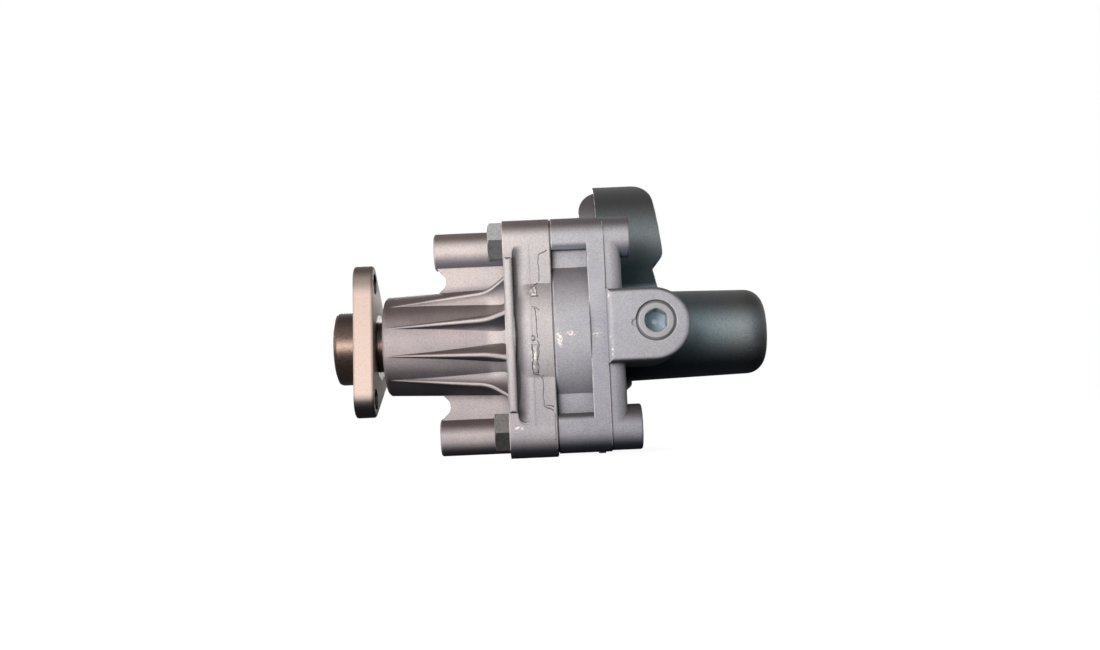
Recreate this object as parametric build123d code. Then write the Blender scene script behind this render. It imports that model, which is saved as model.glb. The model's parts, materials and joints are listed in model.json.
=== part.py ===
from build123d import *
import math
import os

# Vane-type power steering pump.
# X runs along the drive shaft towards the rear, Z is up, and the origin is where the
# shaft axis meets the plane of the two front mounting faces. Sizes are millimetres.

# Fits between pieces
seat_gap = 0.01
running_gap = 0.04
side_gap = 0.03
thread_gap = 0.02
race_gap = 0.05
o_ring_gap = 0.03

# How far a cut runs past the face that it opens
over = 1.0

# Front housing along the shaft
neck_front_x = -19.2
plate_front_x = 27.7
plate_length = 17.0
joint_x = plate_front_x + plate_length

# Rear housing along the shaft
window_length = 12.8
rear_plate_thick = 6.1
cap_thick = 6.0
window_back_x = joint_x + window_length
parting_x = window_back_x + rear_plate_thick
rear_wall_x = parting_x + cap_thick
barrel_length = 56.7
barrel_end_x = rear_wall_x + barrel_length

# Square body, its ears and the housing bolts
barrel_side_r = 43.2
flat_upper = 39.0
flat_lower = 40.6
pad_r = 6.0
pad_offset = 17.0
joint_line_wide = 0.3
joint_line_deep = 0.4
bolt_offset = 34.0
ear_upper_r = 7.6
ear_lower_front_r = 9.6
ear_lower_rear_r = 8.5
bolt_r = 4.0
bolt_clear_r = 4.3
bolt_head_flats = 13.0
bolt_head_h = 5.3
bolt_head_chamfer = 0.9
bolt_head_washer_r = 7.8
bolt_length = 40.0
bolt_end_chamfer = 0.8
bolt_hole_spare = 2.3

# Raised rim on each side of the front plate and the hollow behind it
rim_front_x = plate_front_x + 0.3
rim_thick = 2.9
rim_half_z = 27.4
rim_y = barrel_side_r + 0.4
rim_depth = 10.0
rim_edge_r = 1.1
rim_hollow_r = 2.7
rim_hollow_half_z = 31.5

# Windows of the rear housing
window_upper_z = 29.7
window_lower_z = 28.3
window_upper_floor = 36.2
window_lower_floor = 37.5
window_edge_r = 2.75

# Rear cap and its corner bosses
cap_step = 0.5
cap_round_r = 4.5
upper_boss_r = 7.4
upper_boss_length = 9.4
lower_boss_r = 8.1
lower_boss_length = 10.9
boss_edge_r = 0.8
gate_stub_r = 1.3
gate_stub_h = 0.6
gate_stub_x = window_back_x + 2.8
gate_stub_y = -30.0

# Barrel on the shaft axis
barrel_root_r = 17.4
barrel_tip_r = 16.2
barrel_rim_r = 7.0
barrel_dome = 0.8
barrel_end_wall = 6.3
barrel_bury = 2.0

# Bearing in the neck
bearing_front_x = neck_front_x + 5.2
bearing_width = 9.0
bearing_back_x = bearing_front_x + bearing_width
bearing_mid_x = bearing_front_x + bearing_width / 2
shaft_r = 7.5
bearing_outer_r = 16.0
bearing_pitch_r = (shaft_r + bearing_outer_r) / 2
bearing_corner = 0.4
ball_r = 2.38
ball_count = 9
land_offset = 1.65
shield_thick = 0.4
shield_inset = 0.35
shield_seat = 0.5
cage_half_thick = 0.6
cage_half_width = 3.0
circlip_thick = 1.2
circlip_groove = 0.7
circlip_play = 0.05
circlip_band = 2.2
circlip_lug_r = 1.9
circlip_lug_inset = 3.4
circlip_lug_deg = 14.0
circlip_eye_r = 0.9

# Shaft seal behind the bearing
seal_r = 13.0
seal_pocket = 9.0
seal_back_x = bearing_back_x + seal_pocket
seal_width = 6.8
seal_back_play = 0.6
seal_wall = 1.2
seal_web = 1.4
seal_lip_root = 1.1
seal_lip_back = 2.2
garter_offset = 2.2
garter_wire_r = 0.6

# Neck with its ribs
neck_wall = 3.0
neck_front_r = bearing_outer_r + neck_wall
neck_draft = 0.04
neck_root_x = plate_front_x - 2.6
neck_root_r = 24.0
neck_edge = 0.8
neck_way_r = 9.0

# Ribs of the neck, rising evenly from their tips and flaring towards the plate
ribs_deg = [47.0, 16.0, -16.0, -47.0]
rib_turn_deg = 2.0
rib_steps = 13
rib_tip_x = neck_front_x + neck_edge
rib_start = 0.12
rib_slope = 0.108
rib_flare = 0.054
rib_flare_x = plate_front_x - 10.7
rib_crest_tip = 0.35
rib_crest_half = 1.1
rib_foot_tip = 0.8
rib_foot_half = 4.1
rib_foot_x = plate_front_x - 8.0
rib_sink = 0.9
rib_bury = 1.5
rib_hollow = 0.12

# Front mounting bosses and their webs
mount_thread_r = 4.0
mount_thread_depth = 20.0
mount_boss_r = 7.2
mount_boss_z = 35.8
mount_edge = 0.5
web_front_x = 4.1
web_half = 3.0
web_hollow_r = 3.4

# Pump pack, counted forwards from the rear wall
rear_wall = 3.4
chamber_depth = 1.2
hub_step = 1.5
ring_room = 1.5
pressure_plate_thick = 6.0
cam_width = 14.0
port_plate_thick = 6.0
chamber_floor_x = rear_wall_x - rear_wall
hub_end_x = chamber_floor_x - chamber_depth
cavity_floor_x = hub_end_x - hub_step
pack_back_x = cavity_floor_x - ring_room
cam_back_x = pack_back_x - pressure_plate_thick
cam_front_x = cam_back_x - cam_width
pack_front_x = cam_front_x - port_plate_thick
pack_r = 29.5
cavity_room = 2.5
cavity_r = pack_r + cavity_room
hub_r = 23.5
hub_gap = 0.05
rotor_r = 20.0
cam_minor_r = rotor_r + 0.4
cam_major_r = rotor_r + 2.6
vane_count = 10
vane_thick = 1.5
vane_slot_gap = 0.05
vane_height = 7.33
vane_tip_gap = 0.07
vane_tip_round = 0.5
vane_foot_room = 0.6
vane_foot_r = 1.3
vane_tip_r = cam_minor_r - vane_tip_gap
vane_foot_x = vane_tip_r - vane_height
vane_root_r = vane_foot_x - vane_foot_room
dowel_r = 2.0
dowel_edge = 3.3
dowel_pitch_r = pack_r - dowel_edge
dowel_seat = 4.0
dowel_spare = 0.5
kidney_r = rotor_r + 0.7
kidney_wide = 2.2
kidney_deep = 2.5
kidney_span = 34.0
inlet_wide = 10.8
inlet_r = kidney_r + (inlet_wide - kidney_wide) / 2
inlet_deep = 3.0
ports_deg = [45.0, 135.0, 225.0, 315.0]
port_bore_room = 0.5

# Rear end of the shaft and the circlip that holds the rotor
spline_root_r = 6.7
spline_teeth = 12
spline_tooth_thick = 1.9
journal_r = 6.0
journal_length = 5.5
journal_end = 0.5
clip_groove_front = 0.15
clip_groove_width = 1.05
clip_groove_deep = 0.5
clip_thick = 0.95
clip_play = 0.05
clip_r = shaft_r + 0.4
clip_mouth = 3.0
clip_room = 0.7
clip_recess_deep = 1.9

# Front bush
bush_r = 9.5
bush_length = 14.0
bush_end_play = 0.5
bush_front_x = pack_front_x - bush_length

# Drive flange and nose of the shaft
flange_gap = 3.2
flange_thick = 7.5
flange_back_x = neck_front_x - flange_gap
flange_front_x = flange_back_x - flange_thick
flange_edge_r = 1.0
flange_thread_r = 4.0
lobe_pitch_r = 25.5
lobe_r = 6.9
lobe_turn_deg = -8.0
lobes_deg = [lobe_turn_deg + turn for turn in (0.0, 120.0, 240.0)]
flange_seat_r = 12.5
collar_r = 9.6
nose_length = 8.5
nose_x = flange_front_x - nose_length
nose_r = 14.15
nose_edge = 1.4
centre_mouth_r = 4.6
centre_r = 1.6
centre_cone = 4.0
centre_depth = 9.0

# Disc spring behind the pressure plate
disc_outer_r = 17.2
disc_inner_r = 11.2
disc_thick = 1.0
disc_rise = 1.45
disc_lean = 0.2
disc_room = 0.6
hub_recess_r = disc_outer_r + disc_lean + disc_room

# O-rings
face_o_ring_r = 1.12
face_o_ring_wall = 2.0
face_o_groove_wide = 2.6
face_o_groove_deep = 2.3
plate_o_ring_r = 0.74
plug_o_ring_r = 0.68

# Plugged boss and cross bore
cross_offset = 10.7
cross_x = rear_wall_x + cross_offset
cross_z = 2.6
cross_drill_r = 4.5
plug_face_y = -48.0
plug_boss_r = 12.8
plug_boss_x = cross_x - 0.9
plug_boss_z = 1.5
plug_boss_root_y = -4.0
plug_boss_draft = 1.5
plug_boss_edge_r = 1.7
plug_r = 7.0
plug_length = 12.6
plug_sunk = 0.4
plug_chamfer = 0.95
plug_mouth_room = 0.2
plug_mouth_deep = 0.35
plug_flats = 7.3
plug_socket_deep = 7.0
plug_socket_mouth_r = 4.2
plug_socket_cone = 2.0
plug_groove_back = 2.5
plug_groove_wide = 2.0
plug_groove_deep = 1.4
stake_r = 1.4
stake_deep = 0.4
stake_drop = 0.6

# Pressure port on the far side
outlet_face_y = 46.0
outlet_boss_r = 13.0
outlet_thread_r = 8.0
outlet_thread_depth = 14.0
gusset_near_y = 11.0
gusset_far_y = 29.0
gusset_low_z = -24.0
gusset_reach = 5.3
gusset_edge_r = 2.0

# Suction block
suction_near_y = 5.0
suction_face_y = 44.0
block_front_x = parting_x - 0.3
block_back_x = rear_wall_x + 19.6
block_top_in = 3.6
block_foot_out = 4.4
block_top_z = 64.4
block_crown_r = 27.5
block_corner_r = 11.0
block_chin_r = 5.0
block_chin_z = 31.5
block_chin_in = 4.6
block_foot_z = 8.0
block_edge_r = 1.6
suction_x = rear_wall_x + 5.9
suction_z = 46.5
suction_bore_r = 8.5
suction_bore_depth = 30.0
suction_lump_x = parting_x + 3.3
suction_lump_z = suction_z + 4.0
suction_lump_r = 10.2
suction_lump_step = 1.5
clamp_thread_r = 3.0
clamp_thread_depth = 14.0
clamp_x = suction_lump_x - 2.0
clamp_z = suction_lump_z + 2.0
passage_r = 3.8

# Flow control spool in the barrel
spool_r = 9.5
spool_bore_end_x = barrel_end_x - barrel_end_wall
spool_bore_cone = 2.5
spool_bore_tip_r = 3.0
spool_front_x = chamber_floor_x + 2.8
spool_stop_r = 3.0
spool_stop_gap = 0.1
spool_edge = 0.5
spool_waist_half = 5.75
spool_waist_front_x = cross_x - spool_waist_half
spool_waist_back_x = cross_x + spool_waist_half
spool_waist_r = 6.5
spool_shoulder = 1.5
spool_back_land = 13.95
spool_back_x = spool_waist_back_x + spool_back_land
spool_pocket_r = 7.7
spool_pocket_deep = 10.0
spool_pocket_x = spool_back_x - spool_pocket_deep
spool_groove_first = 2.4
spool_groove_pitch = 3.6
spool_groove_wide = 1.0
spool_groove_deep = 0.6
spool_groove_count = 3
spool_hole_r = 1.2
spool_hole_x = cross_x - 1.3
spring_wire_r = 0.9
spring_mean_r = 6.4
spring_pitch = 4.6

# Relief valve inside the spool
relief_bore_r = 3.5
relief_bore_deep = 17.0
relief_bore_x = spool_pocket_x - relief_bore_deep
relief_seat_length = 4.0
relief_seat_x = spool_pocket_x - relief_seat_length
relief_hole_r = 1.3
relief_cone = 0.6
relief_cone_r = 1.6
relief_flats = 4.0
relief_flats_deep = 1.8
relief_ball_r = 2.2
relief_ball_x = relief_seat_x - 1.6
relief_guide_r = 3.2
relief_guide_stem_r = 1.7
relief_guide_back = 1.0
relief_guide_head = 3.0
relief_guide_stem = 2.0
relief_ball_gap = 0.02
relief_wire_r = 0.4
relief_mean_r = 2.6
relief_pitch = 1.7


# Helpers for round work
def turned(points):
    return revolve(Plane.XZ * make_face(Polyline(*points, close=True)), Axis.X)


def bar_x(x0, x1, radius, y=0.0, z=0.0):
    middle = Pos((x0 + x1) / 2, y, z)
    return middle * Rot(0, 90, 0) * Cylinder(radius, abs(x1 - x0))


def bar_y(y0, y1, radius, x=0.0, z=0.0):
    middle = Pos(x, (y0 + y1) / 2, z)
    return middle * Rot(90, 0, 0) * Cylinder(radius, abs(y1 - y0))


def bar_between(start, end, radius):
    line = Line(start, end)
    return extrude(Plane(origin=start, z_dir=line % 0) * Circle(radius), line.length)


def section_x(x0, x1, sketch):
    return extrude(Plane.YZ.offset(x0) * sketch, x1 - x0)


def ring_torus(x, mean_r, tube_r):
    return Pos(x, 0, 0) * Rot(0, 90, 0) * Torus(mean_r, tube_r)


def corners():
    return [(sy * bolt_offset, sz * bolt_offset) for sz in (1, -1) for sy in (-1, 1)]


def hull_of(circles):
    return make_hull([Pos(y, z) * Edge.make_circle(r) for y, z, r in circles])


# Front plate: round middle and four ears, each with flat pads that lean from it to the middle
def front_section():
    sketch = Circle(barrel_side_r)
    for y, z in corners():
        sy = math.copysign(1, y)
        sz = math.copysign(1, z)
        ear_r = ear_upper_r if z > 0 else ear_lower_front_r
        reach = (flat_upper if z > 0 else flat_lower) - pad_r
        pads = [(sy * reach, sz * pad_offset, pad_r), (sy * pad_offset, sz * reach, pad_r)]
        sketch += hull_of([(y, z, ear_r)] + pads)
    return sketch


# Ring of the rear housing: round middle, flat window floors and a rounded column at each ear
def window_section():
    sketch = Circle(barrel_side_r)
    for y, z in corners():
        sy = math.copysign(1, y)
        sz = math.copysign(1, z)
        ear_r = ear_upper_r if z > 0 else ear_lower_rear_r
        high = window_upper_z if z > 0 else window_lower_z
        floor = window_upper_floor if z > 0 else window_lower_floor
        outer = bolt_offset + ear_r - window_edge_r
        inner = high + window_edge_r
        column = hull_of(
            [(y, z, ear_r), (sy * outer, sz * inner, window_edge_r), (sy * inner, sz * outer, window_edge_r)]
        )
        column -= Pos(sy * (floor + high / 2), sz * high / 2) * Rectangle(high, high)
        column -= Pos(sy * high / 2, sz * (floor + high / 2)) * Rectangle(high, high)
        sketch += column + Pos(sy * floor / 2, sz * floor / 2) * Rectangle(floor, floor)
    return sketch


# Short end of a section, drawn in so that two housings leave a fine line between them
def joint_end(x, sketch):
    return section_x(x, x + joint_line_wide, offset(sketch, -joint_line_deep))


# Rounded square that runs from ear to ear
def plate_section(step):
    circles = []
    for y, z in corners():
        ear_r = ear_upper_r if z > 0 else ear_lower_rear_r
        circles.append((y, z, ear_r - step))
    return hull_of(circles)


def neck_r(x):
    return neck_front_r + neck_draft * (x - neck_front_x)


# Cross-section of a rib that stands up along +Z: round crest, hollow flanks and a foot sunk in the neck
def rib_section(x):
    share = (x - rib_tip_x) / (rib_foot_x - rib_tip_x)
    rise = rib_slope * (x - rib_tip_x) - rib_start
    rise += rib_flare * max(0, x - rib_flare_x) ** 2
    crest_half = rib_crest_tip + (rib_crest_half - rib_crest_tip) * min(share, 1)
    foot_half = rib_foot_tip + (rib_foot_half - rib_foot_tip) * min(share, 1)
    crest = neck_r(x) + rise
    foot = neck_r(x) - rib_sink
    low = foot - rib_bury
    shoulder = crest - 0.6 * crest_half
    flank_y = (crest_half + foot_half) / 2 - rib_hollow * (shoulder - foot)
    flank_z = (shoulder + foot) / 2 - rib_hollow * (foot_half - crest_half)
    outline = Polyline((-foot_half, foot), (-foot_half, low), (foot_half, low), (foot_half, foot))
    outline += ThreePointArc((foot_half, foot), (flank_y, flank_z), (crest_half, shoulder))
    outline += ThreePointArc((crest_half, shoulder), (0, crest), (-crest_half, shoulder))
    outline += ThreePointArc((-crest_half, shoulder), (-flank_y, flank_z), (-foot_half, foot))
    return Plane.YZ.offset(x) * make_face(outline)


# One rib of the neck, rising from its tip and flaring into the plate
def neck_rib():
    step = (plate_front_x + over - rib_tip_x) / rib_steps
    return loft([rib_section(rib_tip_x + step * k) for k in range(rib_steps + 1)])


# Core of the neck: slightly drafted, with a round root at the plate
def neck_core():
    root = (neck_root_x, neck_r(neck_root_x))
    top = (plate_front_x + over, neck_root_r)
    middle = ((root[0] + 2 * top[0]) / 3, root[1] + (top[1] - root[1]) * 0.3)
    edge_x = neck_front_x + neck_edge
    outline = Polyline((neck_front_x, 0), (neck_front_x, neck_front_r - neck_edge), (edge_x, neck_r(edge_x)), root)
    outline += ThreePointArc(root, middle, top)
    outline += Polyline(top, (plate_front_x + over, 0), (neck_front_x, 0))
    return revolve(Plane.XZ * make_face(outline), Axis.X)


# Flat web between the neck and one mounting boss, standing up along +Z
def mount_web():
    low = neck_front_r - rib_bury
    back = plate_front_x + over
    root_z = neck_front_r + web_hollow_r
    boss_z = mount_boss_z - mount_boss_r - web_hollow_r + mount_edge
    outline = make_face(
        Polyline(
            (web_front_x - web_hollow_r, low),
            (web_front_x - web_hollow_r, root_z - web_hollow_r),
            (web_front_x, root_z),
            (web_front_x, boss_z),
            (web_front_x - web_hollow_r, boss_z + web_hollow_r),
            (web_front_x - web_hollow_r, mount_boss_z),
            (back, mount_boss_z),
            (back, low),
            close=True,
        )
    )
    bends = [
        outline.vertices().sort_by_distance((web_front_x, root_z, 0))[0],
        outline.vertices().sort_by_distance((web_front_x, boss_z, 0))[0],
    ]
    outline = fillet(bends, web_hollow_r)
    return extrude(Plane.XZ * outline, web_half, both=True)


# Raised rim on the -Y side of the front plate
def side_rim():
    rim = Pos(rim_front_x + rim_thick / 2, -rim_y + rim_depth / 2, 0) * Box(rim_thick, rim_depth, 2 * rim_half_z)
    outer = rim.faces().sort_by(Axis.Y)[0]
    return fillet(outer.edges(), rim_edge_r)


# Round-ended hollow behind the rim, as deep as the flat pads
def rim_hollow():
    half = rim_hollow_half_z - rim_hollow_r
    hollow = Cylinder(rim_hollow_r, 2 * half)
    for side in (1, -1):
        hollow += Pos(0, 0, side * half) * Sphere(rim_hollow_r)
    return Pos(rim_front_x + rim_thick + rim_hollow_r, -flat_upper - rim_hollow_r, 0) * hollow


# Front plate with a rim and its hollow on each side
def front_plate():
    plate = section_x(plate_front_x, joint_x - joint_line_wide, front_section())
    plate += joint_end(joint_x - joint_line_wide, front_section())
    rim = side_rim()
    hollow = rim_hollow()
    plate = plate + rim + mirror(rim, Plane.XZ)
    return plate - hollow - mirror(hollow, Plane.XZ)


def housing_o_ring_groove():
    inner = cavity_r + face_o_ring_wall
    outer = inner + face_o_groove_wide
    floor = joint_x - face_o_groove_deep
    return turned([(floor, inner), (floor, outer), (joint_x + over, outer), (joint_x + over, inner)])


def front_housing():
    housing = neck_core()
    rib = neck_rib()
    for middle_deg in (90.0, 270.0):
        for rib_deg in ribs_deg:
            housing += Rot(middle_deg - rib_turn_deg - rib_deg, 0, 0) * rib
    web = mount_web()
    boss = bar_x(0, plate_front_x + over, mount_boss_r, 0, mount_boss_z)
    boss = chamfer(boss.edges().sort_by(Axis.X)[0], mount_edge)
    for turn in (0, 180):
        housing += Rot(turn, 0, 0) * (web + boss)
    housing += front_plate()
    groove_x = bearing_front_x - circlip_thick - 2 * circlip_play
    housing -= turned(
        [
            (neck_front_x - over, 0),
            (neck_front_x - over, bearing_outer_r),
            (groove_x, bearing_outer_r),
            (groove_x, bearing_outer_r + circlip_groove),
            (bearing_front_x, bearing_outer_r + circlip_groove),
            (bearing_front_x, bearing_outer_r),
            (bearing_back_x, bearing_outer_r),
            (bearing_back_x, seal_r),
            (seal_back_x, seal_r),
            (seal_back_x, neck_way_r),
            (bush_front_x, neck_way_r),
            (bush_front_x, bush_r),
            (pack_front_x, bush_r),
            (pack_front_x, pack_r + seat_gap),
            (joint_x + over, pack_r + seat_gap),
            (joint_x + over, 0),
        ]
    )
    for y, z in corners():
        housing -= bar_x(plate_front_x - over, joint_x + over, bolt_clear_r, y, z)
    for side in (1, -1):
        housing -= bar_x(-over, mount_thread_depth, mount_thread_r, 0, side * mount_boss_z)
        dowel_x = pack_front_x - dowel_seat
        housing -= bar_x(dowel_x, pack_front_x + over, dowel_r + seat_gap, side * dowel_pitch_r)
    return housing - housing_o_ring_groove()


# Flat-faced boss around the plug, drafted from its face towards the barrel
def plug_boss():
    face_plane = Plane(origin=(plug_boss_x, plug_face_y, plug_boss_z), x_dir=(1, 0, 0), z_dir=(0, 1, 0))
    left = plug_boss_x - parting_x
    outline = Circle(plug_boss_r) + Pos(-left / 2, 0) * Rectangle(left, 2 * plug_boss_r)
    boss = extrude(face_plane * outline, plug_boss_root_y - plug_face_y, taper=-plug_boss_draft)
    rim = boss.edges().filter_by(Plane.XZ).group_by(Axis.Y)[0]
    return fillet(rim, plug_boss_edge_r)


# Suction block behind the shaft: its side outline and its crowned end outline meet in one solid
def suction_block():
    top_end = (block_back_x - block_top_in, block_top_z)
    side = make_face(
        Polyline(
            (block_front_x, block_foot_z),
            (block_front_x, block_top_z),
            top_end,
            (block_back_x, block_chin_z),
            (block_back_x - block_chin_in, block_chin_z - block_chin_in),
            (block_back_x - block_chin_in + block_foot_out, block_foot_z),
            close=True,
        )
    )
    side = fillet(side.vertices().sort_by_distance((top_end[0], top_end[1], 0))[0], block_corner_r)
    side = fillet(side.vertices().sort_by_distance((block_back_x, block_chin_z, 0))[0], block_chin_r)
    block = extrude(Plane.XZ.offset(-suction_near_y) * side, suction_near_y - suction_face_y)
    lump = bar_y(suction_near_y, suction_face_y, suction_lump_r, suction_lump_x, suction_lump_z)
    width = suction_face_y - suction_near_y
    height = block_top_z - block_foot_z
    end = Pos(suction_near_y + width / 2, block_foot_z + height / 2) * Rectangle(width, height)
    crown = end.vertices().sort_by_distance((suction_near_y, block_top_z, 0))[0]
    end = fillet(crown, block_crown_r)
    reach = section_x(suction_lump_x - suction_lump_r - over, block_back_x + over, end)
    return (block & reach) + (lump & Pos(0, suction_lump_step, 0) * reach)


# Web under the far-side boss, square to the rear wall
def outlet_gusset():
    top = cross_z - outlet_boss_r / 2
    outline = make_face(
        Polyline(
            (rear_wall_x - over, gusset_low_z),
            (rear_wall_x + gusset_reach, gusset_low_z + gusset_reach),
            (rear_wall_x + gusset_reach, top),
            (rear_wall_x - over, top),
            close=True,
        )
    )
    knee = outline.vertices().sort_by_distance((rear_wall_x + gusset_reach, gusset_low_z + gusset_reach, 0))[0]
    outline = fillet(knee, gusset_edge_r)
    return extrude(Plane.XZ.offset(-gusset_near_y) * outline, gusset_near_y - gusset_far_y)


# Closed barrel on the shaft axis with a slightly domed end
def rear_barrel():
    start_x = rear_wall_x - barrel_bury
    side_end = (barrel_end_x - barrel_rim_r - barrel_dome, barrel_tip_r)
    flat_r = barrel_tip_r - barrel_rim_r
    round_end = (barrel_end_x - barrel_dome, flat_r)
    turn = math.radians(45)
    round_mid = (
        side_end[0] + barrel_rim_r * math.sin(turn),
        flat_r + barrel_rim_r * math.cos(turn),
    )
    dome_r = (flat_r**2 + barrel_dome**2) / (2 * barrel_dome)
    dome_mid = (barrel_end_x - dome_r + math.sqrt(dome_r**2 - (flat_r / 2) ** 2), flat_r / 2)
    outline = Polyline((start_x, 0), (start_x, barrel_root_r), side_end)
    outline += ThreePointArc(side_end, round_mid, round_end)
    outline += ThreePointArc(round_end, dome_mid, (barrel_end_x, 0))
    outline += Line((barrel_end_x, 0), (start_x, 0))
    return revolve(Plane.XZ * make_face(outline), Axis.X)


def rear_cap():
    cap = section_x(parting_x, rear_wall_x, plate_section(cap_step))
    cap = fillet(cap.faces().sort_by(Axis.X)[-1].edges(), cap_round_r)
    for y, z in corners():
        if z > 0:
            stub = bar_x(parting_x, parting_x + upper_boss_length, upper_boss_r, y, z)
        else:
            stub = bar_x(parting_x, parting_x + lower_boss_length, lower_boss_r, y, z)
        cap += fillet(stub.edges().sort_by(Axis.X)[-1], boss_edge_r)
    return cap


def rear_housing():
    housing = joint_end(joint_x, window_section())
    housing += section_x(joint_x + joint_line_wide, window_back_x, window_section())
    housing += section_x(window_back_x, parting_x, plate_section(0))
    housing += rear_cap()
    housing += rear_barrel()
    housing += plug_boss()
    housing += suction_block()
    housing += bar_y(0, outlet_face_y, outlet_boss_r, cross_x, cross_z)
    housing += outlet_gusset()
    stub_z = -bolt_offset - ear_lower_rear_r
    housing += Pos(gate_stub_x, gate_stub_y, stub_z) * Cylinder(gate_stub_r, 2 * gate_stub_h)
    housing -= turned(
        [
            (joint_x - over, 0),
            (joint_x - over, cavity_r),
            (cavity_floor_x, cavity_r),
            (cavity_floor_x, hub_r + hub_gap),
            (chamber_floor_x, hub_r + hub_gap),
            (chamber_floor_x, spool_r + running_gap),
            (spool_bore_end_x, spool_r + running_gap),
            (spool_bore_end_x + spool_bore_cone, spool_bore_tip_r),
            (spool_bore_end_x + spool_bore_cone, 0),
        ]
    )
    bolt_end_x = plate_front_x + bolt_length
    for y, z in corners():
        housing -= bar_x(joint_x - over, bolt_end_x + bolt_hole_spare, bolt_r + thread_gap, y, z)
    plug_back_y = plug_face_y + plug_sunk + plug_length
    housing -= bar_y(plug_face_y - over, outlet_face_y + over, cross_drill_r, cross_x, cross_z)
    housing -= bar_y(plug_face_y - over, plug_face_y + plug_mouth_deep, plug_r + plug_mouth_room, cross_x, cross_z)
    housing -= bar_y(plug_face_y - over, plug_back_y, plug_r + thread_gap, cross_x, cross_z)
    stake_x = cross_x - plug_r - plug_mouth_room
    housing -= bar_y(plug_face_y - over, plug_face_y + stake_deep, stake_r, stake_x, cross_z - stake_drop)
    outlet_floor_y = outlet_face_y - outlet_thread_depth
    housing -= bar_y(outlet_floor_y, outlet_face_y + over, outlet_thread_r, cross_x, cross_z)
    suction_floor_y = suction_face_y - suction_bore_depth
    housing -= bar_y(suction_floor_y, suction_face_y + over, suction_bore_r, suction_x, suction_z)
    clamp_floor_y = suction_face_y - clamp_thread_depth
    housing -= bar_y(clamp_floor_y, suction_face_y + over, clamp_thread_r, clamp_x, clamp_z)
    start = (suction_x - over, suction_floor_y + suction_bore_r, suction_z - suction_bore_r / 3)
    inlet_mid = cavity_r - passage_r + thread_gap
    turn = math.radians(ports_deg[0])
    end = (cavity_floor_x - over, inlet_mid * math.cos(turn), inlet_mid * math.sin(turn))
    return housing - bar_between(start, end, passage_r)


def lobe_places():
    places = []
    for angle in lobes_deg:
        turn = math.radians(angle)
        places.append((lobe_pitch_r * math.cos(turn), lobe_pitch_r * math.sin(turn)))
    return places


def drive_flange():
    outline = hull_of([(y, z, lobe_r) for y, z in lobe_places()])
    flange = section_x(flange_front_x, flange_back_x, outline)
    ends = flange.faces().sort_by(Axis.X)
    flange = fillet(ends[0].edges() + ends[-1].edges(), flange_edge_r)
    flange -= bar_x(flange_front_x - over, flange_back_x + over, flange_seat_r + seat_gap)
    for y, z in lobe_places():
        flange -= bar_x(flange_front_x - over, flange_back_x + over, flange_thread_r, y, z)
    return flange


def spline_section(gap):
    sketch = Circle(spline_root_r + gap)
    tooth = Pos(shaft_r / 2, 0) * Rectangle(shaft_r + 2 * gap, spline_tooth_thick + 2 * gap)
    for k in range(spline_teeth):
        sketch += Rot(0, 0, 360 / spline_teeth * k) * tooth
    return sketch


def drive_shaft():
    shaft = turned(
        [
            (nose_x, 0),
            (nose_x, nose_r - nose_edge),
            (nose_x + 0.3 * nose_edge, nose_r - 0.3 * nose_edge),
            (nose_x + nose_edge, nose_r),
            (flange_front_x, nose_r),
            (flange_front_x, flange_seat_r),
            (flange_back_x, flange_seat_r),
            (flange_back_x, collar_r),
            (bearing_front_x, collar_r),
            (bearing_front_x, shaft_r),
            (cam_front_x, shaft_r),
            (cam_front_x, 0),
        ]
    )
    shaft += section_x(cam_front_x, cam_back_x, spline_section(0.0))
    groove_front = cam_back_x + clip_groove_front
    groove_back = groove_front + clip_groove_width
    shaft_end_x = cam_back_x + journal_length
    shaft += turned(
        [
            (cam_back_x, 0),
            (cam_back_x, journal_r),
            (groove_front, journal_r),
            (groove_front, journal_r - clip_groove_deep),
            (groove_back, journal_r - clip_groove_deep),
            (groove_back, journal_r),
            (shaft_end_x - journal_end, journal_r),
            (shaft_end_x, journal_r - journal_end),
            (shaft_end_x, 0),
        ]
    )
    centre = turned(
        [
            (nose_x - over, 0),
            (nose_x - over, centre_mouth_r),
            (nose_x + centre_cone, centre_r),
            (nose_x + centre_depth, centre_r),
            (nose_x + centre_depth, 0),
        ]
    )
    return shaft - centre


# Ball bearing
def race():
    return ring_torus(bearing_mid_x, bearing_pitch_r, ball_r + race_gap)


def bearing_outer_ring():
    outer = bearing_outer_r - seat_gap
    land = bearing_pitch_r + land_offset
    seat = land + shield_seat
    inset = shield_inset + shield_thick + circlip_play
    ring = turned(
        [
            (bearing_front_x, outer - bearing_corner),
            (bearing_front_x + bearing_corner, outer),
            (bearing_back_x - bearing_corner, outer),
            (bearing_back_x, outer - bearing_corner),
            (bearing_back_x, seat),
            (bearing_back_x - inset, seat),
            (bearing_back_x - inset, land),
            (bearing_front_x + inset, land),
            (bearing_front_x + inset, seat),
            (bearing_front_x, seat),
        ]
    )
    return ring - race()


def bearing_inner_ring():
    bore = shaft_r + seat_gap
    land = bearing_pitch_r - land_offset
    ring = turned([(bearing_front_x, bore), (bearing_front_x, land), (bearing_back_x, land), (bearing_back_x, bore)])
    return ring - race()


def ball_places():
    return [Rot(360 / ball_count * k, 0, 0) * Pos(bearing_mid_x, bearing_pitch_r, 0) for k in range(ball_count)]


def bearing_balls():
    return Compound([place * Sphere(ball_r) for place in ball_places()])


def bearing_cage():
    inner = bearing_pitch_r - cage_half_thick
    outer = bearing_pitch_r + cage_half_thick
    front = bearing_mid_x - cage_half_width
    back = bearing_mid_x + cage_half_width
    cage = turned([(front, inner), (front, outer), (back, outer), (back, inner)])
    for place in ball_places():
        cage -= place * Sphere(ball_r + running_gap)
    return cage


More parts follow.
